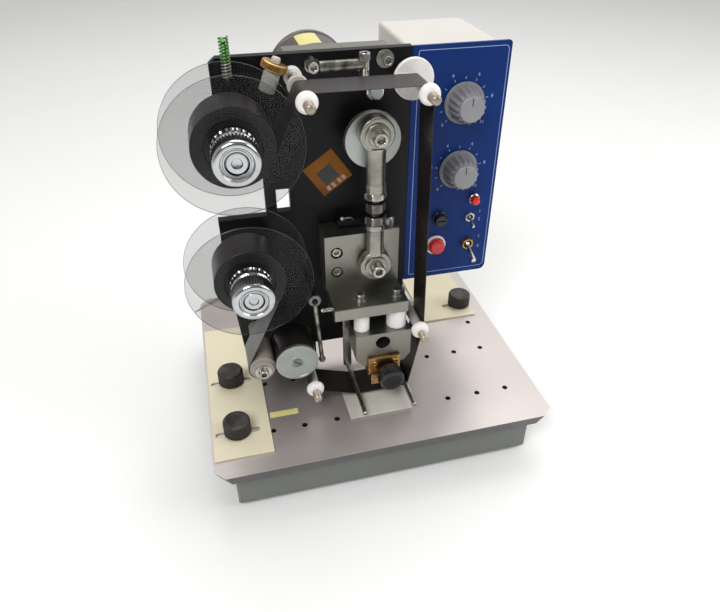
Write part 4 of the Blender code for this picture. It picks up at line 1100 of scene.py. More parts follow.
LEVER_LEAN = (24, 0, 0)
MAIN_SWITCH = (121.0, 0, 197.0)
SMALL_SWITCH = (120.8, 0, 229.0)
BUTTON = (84.5, 0, 200.0)


def make_panel():
    low, high = low_high("control_panel")
    face = PANEL_FACE
    radii = (1.0, 7.0, 3.0, 1.0)
    sheet = prism(rounded_outline(low.x, high.x, low.z, high.z, radii), face, high.y)
    rim = [line for line in sheet.edges if all(abs(v.co.y - face) < 0.01 for v in line.verts)]
    softened(sheet, rim, 0.4, 2)
    cutters = [
        well(MAIN_SWITCH, 4.6, face - 3, face + 1.5), well(SMALL_SWITCH, 3.2, face - 3, face + 1.5),
        well(BUTTON, 9.0, face - 3, face + 2.2),
    ]
    piece("panel_sheet", "frame", ["panel film"], carved(sheet, cutters), ["control_panel"])
    edge = (low.x + 5.5, high.x - 2.6, low.z + 5.5, high.z - 4.0)
    radii = (2.0, 5.0, 4.0, 2.0)
    line = 0.55
    outer = rounded_outline(edge[0], edge[1], edge[2], edge[3], radii)
    inner = rounded_outline(
        edge[0] + line, edge[1] - line, edge[2] + line, edge[3] - line, [part - line for part in radii],
    )
    prints = [outline_strip(outer, inner, face - 0.06, face - 0.01)]
    first, between = 225, 27
    tick_reach, number_reach = 23.2, 28.4
    for dial in (middle("dial_upper"), middle("dial_lower")):
        for step in range(11):
            angle = math.radians(first - between * step)
            along = Vector((math.cos(angle), math.sin(angle)))
            spot = Vector((dial.x, dial.z)) + along * tick_reach
            prints.append(tilted_rect(spot, 2.6, 0.55, angle, face - 0.06, face - 0.01))
            if step % 2 == 0:
                spot = Vector((dial.x, dial.z)) + along * number_reach
                prints.append(number_print(str(step), 4.6, spot.x, spot.y, face))
    for switch, right, up, texts in ((MAIN_SWITCH, 13.5, 6, "10"), (SMALL_SWITCH, 11.5, 4.5, "12")):
        prints.append(number_print(texts[0], 5.0, switch[0] + right, switch[2] + up, face))
        prints.append(number_print(texts[1], 5.0, switch[0] + right, switch[2] - up, face))
    piece("panel_print", "frame", ["print white"], joined(*prints))
    nut = hex_nut("y", MAIN_SWITCH, face - 0.02, face - 2.4, 7.2, 4.7)
    neck = [(4.65, face - 2.4), (6.0, face - 2.4), (5.6, face - 3.9), (4.65, face - 3.9)]
    piece("main_bush", "frame", ["brass"], joined(nut, turned("y", MAIN_SWITCH, neck, FINE)))
    nut = hex_nut("y", SMALL_SWITCH, face - 0.02, face - 2.0, 5.6, 3.3)
    neck = [(3.25, face - 2.0), (3.9, face - 2.0), (3.7, face - 2.9), (3.25, face - 2.9)]
    piece("small_bush", "frame", ["chrome"], joined(nut, turned("y", SMALL_SWITCH, neck, FINE)))
    ring = turned("y", BUTTON, rounded_ring(9.0, 11.0, face - 2.9, face - 0.02, 0.7), ROUND)
    piece("button_ring", "frame", ["nylon"], ring)


def make_dials():
    for name, node in (("upper_dial", "dial_upper"), ("lower_dial", "dial_lower")):
        low, high, spot, radius = round_node(node)
        centre = (spot.x, 0, spot.z)
        back, front = high.y, low.y
        count = 16
        flutes = ("wave", count, 1.9)
        shallow = ("wave", count, 1.2)
        profile = [
            (0, back), (radius - 0.4, back), (radius, back - 0.5), (radius, back - 1.6),
            (radius - 0.9, back - 2.4), (radius - 2.6, back - 2.8, shallow),
            (radius - 2.8, back - 4.4, flutes), (radius - 4.4, back - 15.8, flutes),
            (radius - 5.2, back - 17.6, flutes), (radius - 6.6, back - 18.8, shallow),
            (radius - 8.0, front + 2.0), (0, front + 2.0),
        ]
        shape = turned("y", centre, profile, 8 * count)
        piece(name + "_knob", name, ["knob grey"], shape, [node])
        cap = [
            (0, front + 2.2), (radius - 7.9, front + 2.2), (radius - 7.9, front + 0.7),
            (radius - 8.7, front), (0, front),
        ]
        piece(name + "_cap", name, ["dial cap"], turned("y", centre, cap, ROUND))
        x, z = spot.x, spot.z
        line = block(x - 0.5, x + 0.5, front - 0.05, front + 0.3, z + 3.0, z + 10.6, 0)
        tick = block(x - 0.55, x + 0.55, back - 2.3, back - 0.9, z + radius - 2.4, z + radius - 0.1, 0)
        piece(name + "_mark", name, ["sticker dark"], joined(line, tick))


def make_switches():
    face = PANEL_FACE
    low, high, spot, radius = round_node("lamp")
    centre = (spot.x, 0, spot.z)
    bezel = [
        (4.4, high.y), (radius, high.y), (radius, high.y - 1.4), (radius - 0.5, high.y - 2.1),
        (4.9, high.y - 2.6), (4.4, high.y - 2.2),
    ]
    piece("lamp_bezel", "frame", ["chrome"], turned("y", centre, bezel, ROUND))
    dome = [
        (0, high.y), (4.35, high.y), (4.35, high.y - 6.0), (4.0, high.y - 7.4), (3.0, high.y - 8.2),
        (1.6, high.y - 8.55), (0, low.y),
    ]
    piece("lamp_lens", "frame", ["red"], turned("y", centre, dome, ROUND), ["lamp"])
    low, high, spot, radius = round_node("fuse_holder")
    centre = (spot.x, 0, spot.z)
    count = 20
    ribs = ("wave", count, 0.35)
    profile = [
        (0, high.y), (radius, high.y), (radius, high.y - 1.6), (radius - 0.5, high.y - 2.2),
        (radius - 1.1, high.y - 2.4, ribs), (radius - 1.4, low.y + 0.9, ribs), (radius - 2.1, low.y),
        (0, low.y),
    ]
    body = turned("y", centre, profile, 4 * count)
    slit = block(spot.x - 4.6, spot.x + 4.6, low.y - 1, low.y + 1.6, spot.z - 0.7, spot.z + 0.7, 0)
    piece("fuse_cap", "frame", ["gloss black"], carved(body, [slit]), ["fuse_holder"])
    low, high, spot, radius = round_node("push_button")
    cap = [
        (0, high.y), (radius, high.y), (radius, low.y + 2.2), (radius - 0.35, low.y + 1.2),
        (radius - 1.2, low.y + 0.5), (radius - 2.6, low.y + 0.1), (radius - 4.5, low.y), (0, low.y + 0.35),
    ]
    piece("button_cap", "button", ["red"], turned("y", (spot.x, 0, spot.z), cap, ROUND), ["push_button"])
    lever = [
        (0, 0.9), (2.9, 0.4), (3.4, -0.4), (3.3, -1.6), (2.6, -3.0), (2.0, -4.4), (2.15, -12), (2.9, -21.5),
        (2.95, -23.2), (2.5, -24.5), (1.4, -25.2), (0, -25.4),
    ]
    place = (MAIN_SWITCH[0], face - 0.5, MAIN_SWITCH[2])
    main = leaned(turned("y", (0, 0, 0), lever, FINE), place, LEVER_LEAN)
    piece("main_lever", "main_switch", ["chrome"], main, ["toggle_main"])
    small = [
        (0, 0.7), (1.9, 0.3), (2.2, -0.4), (2.0, -1.5), (1.35, -3), (1.5, -9), (1.88, -13.4), (1.6, -14.5),
        (0.9, -14.9), (0, -15),
    ]
    place = (SMALL_SWITCH[0], face - 0.3, SMALL_SWITCH[2])
    mini = leaned(turned("y", (0, 0, 0), small, FINE), place, LEVER_LEAN)
    piece("small_lever", "small_switch", ["chrome"], mini, ["toggle_mini"])


def hex_hole(x, y, radius, low, high):
    """A hexagonal cutter along z."""
    return turned("z", (x, y, 0), [(0, low), (radius, low, HEX), (radius, high, HEX), (0, high)], 48)


def make_head():
    carriage = packed_shape("head_carriage", 0.5)
    low, high = low_high("head_carriage")
    front = -35.0
    flange = 190.0
    cutters = [
        hex_hole(-12, -60, 2.5, flange - 3.6, flange + 1), hex_hole(25, -60, 2.5, flange - 3.6, flange + 1),
        hex_hole(24.6, -23, 3.3, high.z - 4.5, high.z + 1),
    ]
    body = carved(carriage, cutters)
    piece("carriage_block", "head", ["machined alu"], body, ["head_carriage"])
    screws = []
    for z in (201.2, 223.3):
        screws.append(cap_screw("y", (-29.2, 0, z), front + 4.9, front + 0.4, 4.6))
    side_pin = [(0, -41.05), (2.2, -41.05), (2.2, -50.6), (1.5, -52.2), (0, -52.5)]
    screws.append(turned("x", (0, -63.0, 178.0), side_pin, 24))
    for x, y in ((-12, -60), (25, -60)):
        screws.append(washer("z", (x, y, 0), 183.05, 184.2, 6.9, 5.25))
    piece("carriage_screws", "head", ["steel"], joined(*screws))
    low, high = low_high("hot_block")
    top = low.z + 39.5
    body = carved(packed_shape("hot_block", 0.6), [block(low.x - 5, high.x + 5, -80, -35, top, high.z + 5)])
    piece("heated_block", "head", ["machined alu"], body, ["hot_block"])
    pillars = []
    for x, radius in ((low.x + 9, 8.0), (high.x - 12.5, 10.4)):
        outline = [
            (0, top - 0.1), (radius - 0.6, top - 0.1), (radius, top + 0.6), (radius, high.z - 0.8),
            (radius - 0.8, high.z), (0, high.z),
        ]
        pillars.append(turned("z", (x, -61.5, 0), outline, FINE))
    piece("heated_block_spacers", "head", ["nylon"], joined(*pillars))
    bits = []
    for z in (116.0, 140.0):
        bits.append(dome_screw("x", (0, -57.5, z), 38.0, 39.4, 2.6))
    piece("heated_block_screws", "head", ["dark steel"], joined(*bits))
    make_type_drawer()
    for name in ("stripper_left", "stripper_right"):
        low, high = low_high(name)
        x = (low.x + high.x) / 2
        z = low.z + 2.5
        bar = [(0, low.y), (1.6, low.y), (2.5, low.y + 1.0), (2.5, -27.5), (0, -27.5)]
        rod = turned("y", (x, 0, z), bar, SMALL)
        leg = block(x - 4.5, x + 4.5, -29, -25.0, low.z, high.z, 0.7)
        foot = block(x - 4, x + 4, -26, high.y, high.z - 11, high.z - 0.02, 0.6)
        nut = hex_nut("y", (x, 0, high.z - 5.5), -29.0, -32.0, 3.6, 0.8)
        piece(name + "_arm", "frame", ["steel"], joined(rod, leg, foot, nut), [name])


def make_type_drawer():
    low, high = low_high("type_holder")
    edge = low.y + 23.0
    foot = 107.5
    tee = [
        (-7.6, foot + 3.4), (-3.6, foot + 3.4), (-3.6, foot - 0.4), (-8.0, foot - 0.4), (-8.0, 96.5),
        (-1.0, 96.5), (-1.0, 91.6), (19.0, 91.6), (19.0, 96.5), (26.0, 96.5), (26.0, foot - 0.4),
        (21.6, foot - 0.4), (21.6, foot + 3.4), (25.6, foot + 3.4), (25.6, foot + 6.6), (-7.6, foot + 6.6),
    ]
    parts = [
        prism(tee, edge - 1, high.y), block(-8, 26, edge - 4, edge - 0.05, 97, 119, 0.8),
        block(-7.5, 1.5, edge - 13, edge - 3.9, 92, 105, 1.2),
        cap_screw("y", (20.5, 0, 113.5), edge - 4.0, edge - 6.5, 2.8),
        cap_screw("y", (-2.6, 0, 113.5), edge - 4.0, edge - 6.5, 2.8),
    ]
    for step in range(5):
        x = -0.6 + step * 4.8
        parts.append(block(x - 1.6, x + 1.6, -70.0, -50.0, 91.62 - 0.5, 92.0, 0.2, 1))
    piece("type_tray", "type_drawer", ["hot brass"], joined(*parts), ["type_holder"])
    count = 30
    ribs = ("wave", count, 0.9)
    knob = [
        (0, edge - 3.95), (5, edge - 3.95), (5, edge - 8), (11.6, edge - 8), (12.5, edge - 8.6),
        (13.2, edge - 9.6, ribs), (13.2, edge - 20.4, ribs), (12.5, edge - 21.8), (10.8, edge - 22.8),
        (7.0, edge - 23.0), (0, edge - 22.6),
    ]
    shape = turned("y", (12.5, 0, 101.0), knob, 4 * count)
    piece("drawer_knob", "type_drawer", ["gloss black"], shape)


def make_drive():
    low, high, spot, radius = round_node("crank_disc")
    disc = [
        (0, high.y), (8.0, high.y), (8.0, PLATE_FACE - 0.6), (11.0, PLATE_FACE - 0.6), (11.0, low.y + 7.0),
        (radius - 0.9, low.y + 7.0), (radius - 0.25, low.y + 6.7), (radius, low.y + 6.1),
        (radius, low.y + 0.9), (radius - 0.25, low.y + 0.25), (radius - 0.9, low.y), (0, low.y),
    ]
    wheel = turned("y", (spot.x, 0, spot.z), disc, 96)
    piece("crank_wheel", "crank", ["crank face"], wheel, ["crank_disc"])
    low, high = low_high("conrod")
    centre = joint_place("rod_swing")
    x = centre.x
    front, back = -48.0, -37.0
    mid = (front + back) / 2
    top = middle("crank_pin").z
    down = middle("wrist_pin").z
    span = top - down
    eye = high.z - top
    eyes = []
    for z in (top, down):
        arc = [math.radians(part) for part in (0, 30, 60, 90)]
        ring = [(8.05, front + 1.0), (8.6, front), (eye - 2.0, front)]
        ring += [(eye - 1.2 + 1.2 * math.sin(a), front + 1.2 - 1.2 * math.cos(a)) for a in arc]
        ring += [(eye - 1.2 + 1.2 * math.cos(a), back - 1.2 + 1.2 * math.sin(a)) for a in arc]
        ring += [(8.6, back), (8.05, back - 1.0)]
        eyes.append(turned("y", (x, 0, z), ring, ROUND))
    lowest, highest = down + eye - 4.0, top - eye + 3.7
    rod = [(0, lowest), (9.0, lowest), (8.5, lowest + 6), (8.3, down + 0.285 * span)]
    rod += [(8.5, down + 0.292 * span), (9.2, down + 0.30 * span), (9.2, down + 0.333 * span)]
    rod += [(8.4, down + 0.337 * span), (9.0, down + 0.340 * span), (10.2, down + 0.347 * span, HEX)]
    rod += [(10.2, down + 0.397 * span, HEX), (9.0, down + 0.404 * span)]
    rod += threads(5.4, down + 0.408 * span, down + 0.432 * span, 1.1, 0.4)
    rod += [(8.2, down + 0.435 * span), (9.4, down + 0.443 * span, HEX), (9.4, down + 0.497 * span, HEX)]
    rod += [(8.2, down + 0.505 * span)]
    rod += threads(5.4, down + 0.508 * span, down + 0.532 * span, 1.1, 0.4)
    rod += [(9.2, down + 0.535 * span), (10.6, down + 0.543 * span, HEX), (10.6, down + 0.579 * span, HEX)]
    rod += [(9.2, down + 0.586 * span), (9.6, down + 0.592 * span), (9.6, down + 0.645 * span)]
    rod += [(8.8, down + 0.655 * span), (8.9, highest - 8), (9.6, highest), (0, highest)]
    shank = turned("z", (x, mid, 0), rod, 48)
    dark = (down + 0.34 * span, down + 0.53 * span)
    tinted(shank, lambda centre, normal: dark[0] < centre.z < dark[1])
    for vert in shank.verts:
        vert.co.y = mid + (vert.co.y - mid) * 0.8
    piece("rod_ends", "connecting_rod", ["steel", "dark steel"], joined(*eyes, shank), ["conrod"])
    for node, body in (("crank_pin", "connecting_rod"), ("wrist_pin", "head")):
        low, high = low_high(node)
        z = (low.z + high.z) / 2
        rows = [
            (0, high.y), (9, high.y), (9, back + 0.3), (7.4, back + 0.3), (7.7, back - 2.0),
            (7.7, front + 2.0), (7.4, front - 0.3), (10.6, front - 0.3), (11.2, front - 0.8),
            (11.2, front - 2.0), (10.4, front - 2.6), (8.0, front - 2.7), (8.0, front - 3.4),
            (0, front - 3.4),
        ]
        ball = turned("y", (x, 0, z), rows, ROUND)
        screw = cap_screw("y", (x, 0, z), front - 3.35, low.y, 6.8)
        piece(node + "_set", body, ["steel"], joined(ball, screw), [node])


def make_reels():
    depth = bpy.context.scene.coder_sizes.knurl / MM
    for prefix, nut_body in (("supply", "supply_lock_nut"), ("takeup", "takeup_lock_nut")):
        body = prefix + "_reel"
        low, high = low_high(prefix + "_shaft")
        spot = (low + high) / 2
        centre = (spot.x, 0, spot.z)
        back0 = low_high(prefix + "_disc_back")[0].y
        thick = 1.5
        collar = low_high(prefix + "_disc_front")[0].y - 0.3
        lower, upper = low.y, high.y
        teeth = ("tooth", 24, 1.3, 0.42)
        shaft = [
            (0, upper), (7, upper), (7, PLATE_FACE - 0.3), (14.4, PLATE_FACE - 0.3), (15, PLATE_FACE - 0.9),
            (15, PLATE_FACE - 6), (9.5, PLATE_FACE - 8), (9.5, back0 + thick + 8), (22, back0 + thick + 6),
            (22, back0 + thick + 0.3), (8, back0 + thick + 0.3), (8, collar), (17.6, collar),
            (18.3, collar - 0.6), (18.3, collar - 1.4, teeth), (18.3, collar - 7.6, teeth),
            (18.0, collar - 8.6), (16.8, collar - 10.0), (15, collar - 11), (9, collar - 11),
            (9, lower + 1.4), (7.8, lower), (4.4, lower), (3.6, lower + 1.4), (0, lower + 2.4),
        ]
        piece(prefix + "_spindle", body, ["chrome"], turned("y", centre, shaft, 96), [prefix + "_shaft"])
        for side, face in (("back", "_disc_back"), ("front", "_disc_front")):
            near, far = low_high(prefix + face)
            radius = (far.x - near.x) / 2
            ring = [
                (8.3, near.y), (radius - 0.35, near.y), (radius, near.y + 0.35), (radius, far.y - 0.35),
                (radius - 0.35, far.y), (8.3, far.y),
            ]
            disc = turned("y", centre, ring, 128)
            limit = radius - 0.6
            tinted(disc, lambda c, n: math.hypot(c.x - centre[0], c.z - centre[2]) > limit)
            piece(prefix + "_flange_" + side, body, ["clear", "clear rim"], disc, [prefix + face])
        near, far = low_high(prefix + "_roll")
        radius = (far.x - near.x) / 2
        roll = [
            (8.3, near.y + 1.6), (22.5, near.y + 1.6), (23.5, near.y + 0.2), (24.2, near.y),
            (radius - 0.2, near.y), (radius, near.y + 0.2), (radius, far.y - 0.2), (radius - 0.2, far.y),
            (8.3, far.y),
        ]
        wound = turned("y", centre, roll, 96)
        edge = radius - 0.3
        for patch in wound.faces:
            here = patch.calc_center_median()
            reach = math.hypot(here.x - centre[0], here.z - centre[2])
            if reach < edge:
                patch.material_index = 2 if reach < 23.0 and here.y < near.y + 5 else 1
        piece(prefix + "_foil_roll", body, ["foil", "roll side", "roll core"], wound, [prefix + "_roll"])
        near, far = low_high(prefix + "_nut")
        radius = (far.x - near.x) / 2
        ribs = 44
        grip = ("wave", ribs, depth * 1.6)
        nut = [
            (9.4, far.y), (radius - 1.2, far.y), (radius, far.y - 1.0), (radius, far.y - 1.6, grip),
            (radius, near.y + 4.6, grip), (radius, near.y + 3.9), (radius - 0.2, near.y + 2.6),
            (radius - 0.8, near.y + 1.3), (radius - 1.9, near.y + 0.4), (radius - 3.4, near.y),
            (radius - 5.2, near.y + 0.3), (radius - 6.2, near.y + 1.4), (radius - 6.6, near.y + 3.0),
            (11.2, near.y + 3.2), (10.6, near.y + 2.4), (9.6, near.y + 2.6), (9.4, near.y + 3.4),
        ]
        shell = turned("y", centre, nut, 4 * ribs)
        piece(prefix + "_nut_shell", nut_body, ["chrome"], shell, [prefix + "_nut"])


def make_rollers():
    low, high, spot, flange = round_node("feed_roller")
    centre = (spot.x, 0, spot.z)
    rubber = flange - 1.7
    face = low.y
    body = [
        (0, high.y), (5, high.y), (5, PLATE_FACE - 0.3), (9, PLATE_FACE - 0.3), (9, RIBBON_ROOT + 6),
        (flange - 0.6, RIBBON_ROOT + 4), (flange, RIBBON_ROOT + 3.4), (flange, RIBBON_ROOT + 0.6),
        (rubber, RIBBON_ROOT + 0.6), (rubber, RIBBON_FACE - 0.55), (0, RIBBON_FACE - 0.55),
    ]
    piece("feed_drum", "feed", ["black rubber"], turned("y", centre, body, 96), ["feed_roller"])
    plate = [
        (0, RIBBON_FACE - 0.6), (flange - 0.3, RIBBON_FACE - 0.6), (flange, RIBBON_FACE - 0.9),
        (flange, face + 1.1), (flange - 0.3, face + 0.35), (flange - 1.0, face), (flange - 2.6, face),
        (flange - 2.9, face + 0.35), (7.6, face + 0.35), (7.2, face), (5.6, face), (5.3, face + 0.8),
        (0, face + 0.8),
    ]
    piece("feed_end", "feed", ["faced alu"], turned("y", centre, plate, 96))
    screw = [(0, face + 0.7), (4.6, face + 0.7), (4.6, face + 0.3), (3.9, face - 0.02), (0, face - 0.02)]
    head = turned("y", centre, screw, FINE)
    slit = leaned(block(-4.8, 4.8, -0.4, 0.45, -0.55, 0.55, 0), (spot.x, face, spot.z), (0, 35, 0))
    piece("feed_screw", "feed", ["dark steel"], carved(head, [slit]))
    low, high, spot, radius = round_node("pinch_roller")
    centre = (spot.x, 0, spot.z)
    body = [
        (0, high.y), (4, high.y), (4, PLATE_FACE - 0.3), (7, PLATE_FACE - 0.3), (7, RIBBON_ROOT + 2),
        (radius - 1.6, RIBBON_ROOT + 0.5), (radius, RIBBON_ROOT), (radius, RIBBON_FACE),
        (radius - 1.6, RIBBON_FACE - 0.5), (radius - 2.4, RIBBON_FACE - 4.4),
        (radius - 3.2, RIBBON_FACE - 5.0), (0, RIBBON_FACE - 5.0),
    ]
    piece("pinch_drum", "pinch", ["pale silicone"], turned("y", centre, body, 96), ["pinch_roller"])
    tip = [
        washer("y", centre, RIBBON_FACE - 5.0, RIBBON_FACE - 6.2, 7.6, 0.8),
        cap_screw("y", centre, RIBBON_FACE - 6.15, low.y, 5.0),
    ]
    piece("pinch_screw", "pinch", ["steel"], joined(*tip))


def make_posts():
    front = RIBBON_FACE - 1.4
    shoulder = RIBBON_ROOT + 1.4
    for name, flange in (
        ("post_top_left", 9.0),
        ("post_top_right", 17.9),
        ("post_bottom_left", 8.0),
        ("post_bottom_right", 8.0),
    ):
        spot = middle(name)
        centre = (spot.x, 0, spot.z)
        tip = low_high(name)[0].y
        rod = [
            (0, PLATE_FACE - 0.3), (6.0, PLATE_FACE - 0.3), (6.5, PLATE_FACE - 0.8), (6.5, PLATE_FACE - 4),
            (4, PLATE_FACE - 5), (4, shoulder + 4.05), (0, shoulder + 4.05),
        ]
        piece(name + "_root", "frame", ["dark steel"], turned("y", centre, rod, FINE))
        sleeve = [
            (0, shoulder + 4), (flange - 0.8, shoulder + 4), (flange, shoulder + 3.2),
            (flange, shoulder + 0.8), (flange - 0.8, shoulder), (5, shoulder), (5, front), (0, front),
        ]
        look = "nylon" if flange > 10 else "clear nylon"
        piece(name + "_sleeve", "frame", [look], turned("y", centre, sleeve, ROUND), [name])
        nut = [
            (0, front), (7.4, front), (8.8, front - 0.8), (9.0, front - 2.2), (8.9, front - 3.6),
            (8.4, front - 5.0), (7.4, front - 6.3), (5.9, front - 7.3), (3.4, front - 8.1),
            (0, front - 8.1),
        ]
        piece(name + "_cap", "frame", ["nylon"], turned("y", centre, nut, 48))
        stud = [(0, front - 8.0)] + threads(4.3, front - 8.0, tip + 1.2, 1.3, 0.4)
        stud += [(3.4, tip + 0.5), (2.6, tip), (0, tip)]
        piece(name + "_stud", "frame", ["stud metal"], turned("y", centre, stud, SMALL))
    pivot = joint_place("link_rod_swing")
    ring = turned("y", (pivot.x, 0, pivot.z), rounded_ring(3.0, 6.2, -66.0, -61.0, 0.8), FINE)
    rod = swept([(pivot.x, -63.5, pivot.z - 4), (pivot.x + 4.5, -63.5, 118)], 2.2, 20)
    half = [(0, -3.6), (1.4, -3.3), (2.6, -2.5), (3.3, -1.4)]
    round_end = half + [(3.6, 0)] + [(radius, -height) for radius, height in reversed(half)]
    ball = turned("z", (pivot.x + 4.6, -63.5, 117), round_end, FINE)
    piece("advance_link", "link_rod", ["dark steel"], joined(ring, rod, ball), ["advance_rod"])


def make_ribbon():
    """The foil runs from the upper roll over the posts and under the head to the lower roll."""
    thick = 0.4
    grow = 0.3 + thick / 2
    stops = []
    for node, radius, side in (
        ("supply_roll", None, 1),
        ("post_top_left", 5.0, -1),
        ("post_top_right", 5.0, -1),
        ("post_bottom_right", 5.0, -1),
        ("stripper_right", 2.5, -1),
        ("stripper_left", 2.5, -1),
        ("post_bottom_left", 5.0, -1),
        ("feed_roller", 19.6, 1),
        ("pinch_roller", 13.3, -1),
        ("takeup_roll", None, 1),
    ):
        low, high = low_high(node)
        reach = radius if radius else (high.x - low.x) / 2
        z = low.z + 2.5 if node.startswith("stripper") else (low.z + high.z) / 2
        stops.append(((low.x + high.x) / 2, z, reach + grow, side))
    legs = []
    for (x0, z0, r0, s0), (x1, z1, r1, s1) in zip(stops, stops[1:]):
        dx, dz = x1 - x0, z1 - z0
        heading = math.atan2(dz, dx) - math.asin((s1 * r1 - s0 * r0) / math.hypot(dx, dz))
        nx, nz = -math.sin(heading), math.cos(heading)
        legs.append(((x0 - s0 * r0 * nx, z0 - s0 * r0 * nz), (x1 - s1 * r1 * nx, z1 - s1 * r1 * nz)))
    line = [legs[0][0], legs[0][1]]
    for (x, z, r, side), before, after in zip(stops[1:], legs, legs[1:]):
        a0 = math.atan2(before[1][1] - z, before[1][0] - x)
        a1 = math.atan2(after[0][1] - z, after[0][0] - x)
        turn = (a1 - a0) * side % (2 * math.pi)
        steps = max(3, round(turn / math.radians(6)))
        for step in range(1, steps + 1):
            angle = a0 + side * turn * step / steps
            line.append((x + r * math.cos(angle), z + r * math.sin(angle)))
        line.append(after[1])
    count = len(line)
    bm = bmesh.new()
    corners = ((RIBBON_FACE, 1), (RIBBON_FACE, -1), (RIBBON_ROOT, -1), (RIBBON_ROOT, 1))
    rows = [[], [], [], []]
    for index, (x, z) in enumerate(line):
        bx, bz = line[max(index - 1, 0)]
        ax, az = line[min(index + 1, count - 1)]
        length = math.hypot(ax - bx, az - bz)
        nx, nz = -(az - bz) / length * thick / 2, (ax - bx) / length * thick / 2
        for row, (y, side) in zip(rows, corners):
            row.append(bm.verts.new((x + side * nx, y, z + side * nz)))
    for near, far in zip(rows, rows[1:] + rows[:1]):
        for step in range(count - 1):
            bm.faces.new((near[step], near[step + 1], far[step + 1], far[step]))
    for end in (0, count - 1):
        bm.faces.new([row[end] for row in rows])
    bmesh.ops.recalc_face_normals(bm, faces=bm.faces)
    piece("foil_web", "frame", ["foil"], bm, ["ribbon_web"])


def make_brake():
    spot = (-79.0, -16.8, 386.0)
    lean = (0, 22, 0)
    stem = [(0, -7), (6.4, -7), (7, -6.4), (7, 10.2), (6.2, 11), (4, 11)]
    stem += threads(4.0, 11.2, 21.0, 1.2, 0.4) + [(3.2, 22), (0, 22)]
    post = leaned(turned("z", (0, 0, 0), stem, FINE), spot, lean)
    piece("brake_post", "frame", ["clear nylon"], post, ["brake_stem"])
    ribs = 36
    grip = ("wave", ribs, 0.7)
    nut = [
        (4.4, 11.3), (10.0, 11.3), (11.0, 11.9), (11.2, 12.4, grip), (11.2, 16.6, grip), (10.9, 17.2),
        (10.2, 17.8), (9.0, 18.0), (6.6, 17.6), (4.4, 17.6),
    ]
    knurl = leaned(turned("z", (0, 0, 0), nut, 4 * ribs), spot, lean)
    piece("brake_knurl", "brake_thumb_nut", ["brass"], knurl, ["brake_nut"])
    low, high = low_high("brake_spring")
    x, y = (low.x + high.x) / 2, (low.y + high.y) / 2
    spring = coil((x, y, 0), 3.5, 0.8, low.z + 0.85, high.z - 0.85, 13, 20, 10)
    piece("brake_coil", "frame", ["spring"], spring, ["brake_spring"])
    foot, tip = low.z - 5.0, high.z - 6.0
    pin = [(0, foot), (1.8, foot), (1.8, high.z - 7.0), (1.2, tip), (0, tip)]
    piece("spring_pin", "frame", ["steel"], turned("z", (x, y, 0), pin, 20))


# ---------------------------------------------------------------- the stage

# Directions that the room is dimmer in, its colours, and the camera's place in metres, aim and roll.
WORLD_DIM = (-0.55, 0.7, 0.45)
WORLD_FRONT = (0.0, -1.0, 0.25)
WORLD_PALE = (1.0, 1.0, 1.0)
WORLD_LEFT = (0.36, 0.34, 0.33)
WORLD_NEAR = (0.19, 0.19, 0.19)
WORLD_SEEN = (0.5, 0.5, 0.495)
CAMERA_SPOT = (-0.1348, -0.5578, 0.5499)
CAMERA_FORWARD = (0.2112, 0.7832, -0.5847)
CAMERA_RIGHT = (0.9655, -0.2603, 0.0)
CAMERA_ROLL = 0.48
CAMERA_SHIFT = (-0.0157, -0.0068)


def area_light(name, spot, target, size, power):
    """A round lamp at a spot, in metres, turned to a target."""
    data = bpy.data.lights.new(name, "AREA")
    data.shape = "DISK"
    data.size = size
    data.energy = power
    made = bpy.data.objects.new(name, data)
    bpy.context.scene.collection.objects.link(made)
    made.location = spot
    made.rotation_euler = (Vector(target) - Vector(spot)).to_track_quat("-Z", "Y").to_euler()


def make_world():
    """A soft pale room: dark behind the camera, pale behind the machine and dimmer there on the left."""
    world = bpy.data.worlds.new("studio")
    world.use_nodes = True
    bpy.context.scene.world = world
    tree = world.node_tree
    backdrop = tree.nodes["Background"]
    place = tree.nodes.new("ShaderNodeTexCoord")
    tones = []
    for aim in (WORLD_DIM, WORLD_FRONT):
        dot = tree.nodes.new("ShaderNodeVectorMath")
        dot.operation = "DOT_PRODUCT"
        dot.inputs[1].default_value = Vector(aim).normalized()
        tree.links.new(place.outputs["Generated"], dot.inputs[0])
        tones.append(dot.outputs["Value"])
    colours = []
    for tone in (WORLD_PALE, WORLD_LEFT, WORLD_NEAR, WORLD_SEEN):
        node = tree.nodes.new("ShaderNodeRGB")
        node.outputs[0].default_value = (tone[0], tone[1], tone[2], 1.0)
        colours.append(node.outputs[0])
    left = mapped(tree, tones[0], 0.3, 0.95, 0.0, 1.0)
    near = mapped(tree, tones[1], -0.1, 0.6, 0.0, 1.0)
    behind = mixed_colour(tree, left, colours[0], colours[1])
    room = mixed_colour(tree, near, behind, colours[2])
    seen = tree.nodes.new("ShaderNodeLightPath").outputs["Is Camera Ray"]
    tree.links.new(mixed_colour(tree, seen, room, colours[3]), backdrop.inputs["Color"])
    backdrop.inputs["Strength"].default_value = 1.0


def make_camera():
    """The camera in front of and above the machine, turned by CAMERA_ROLL degrees about its own axis."""
    forward = Vector(CAMERA_FORWARD).normalized()
    level = Vector(CAMERA_RIGHT)
    level = (level - forward * level.dot(forward)).normalized()
    up = level.cross(forward)
    roll = math.radians(CAMERA_ROLL)
    right = level * math.cos(roll) + up * math.sin(roll)
    up = right.cross(forward)
    data = bpy.data.cameras.new("front camera")
    data.lens = bpy.context.scene.coder_sizes.lens
    data.sensor_width = 36.0
    data.sensor_fit = "HORIZONTAL"
    data.shift_x, data.shift_y = CAMERA_SHIFT
    data.clip_start = 0.02
    data.clip_end = 60.0
    made = bpy.data.objects.new("front camera", data)
    bpy.context.scene.collection.objects.link(made)
    turn = Matrix((right, up, -forward)).transposed()
    made.matrix_world = Matrix.Translation(CAMERA_SPOT) @ turn.to_4x4()
    bpy.context.scene.camera = made


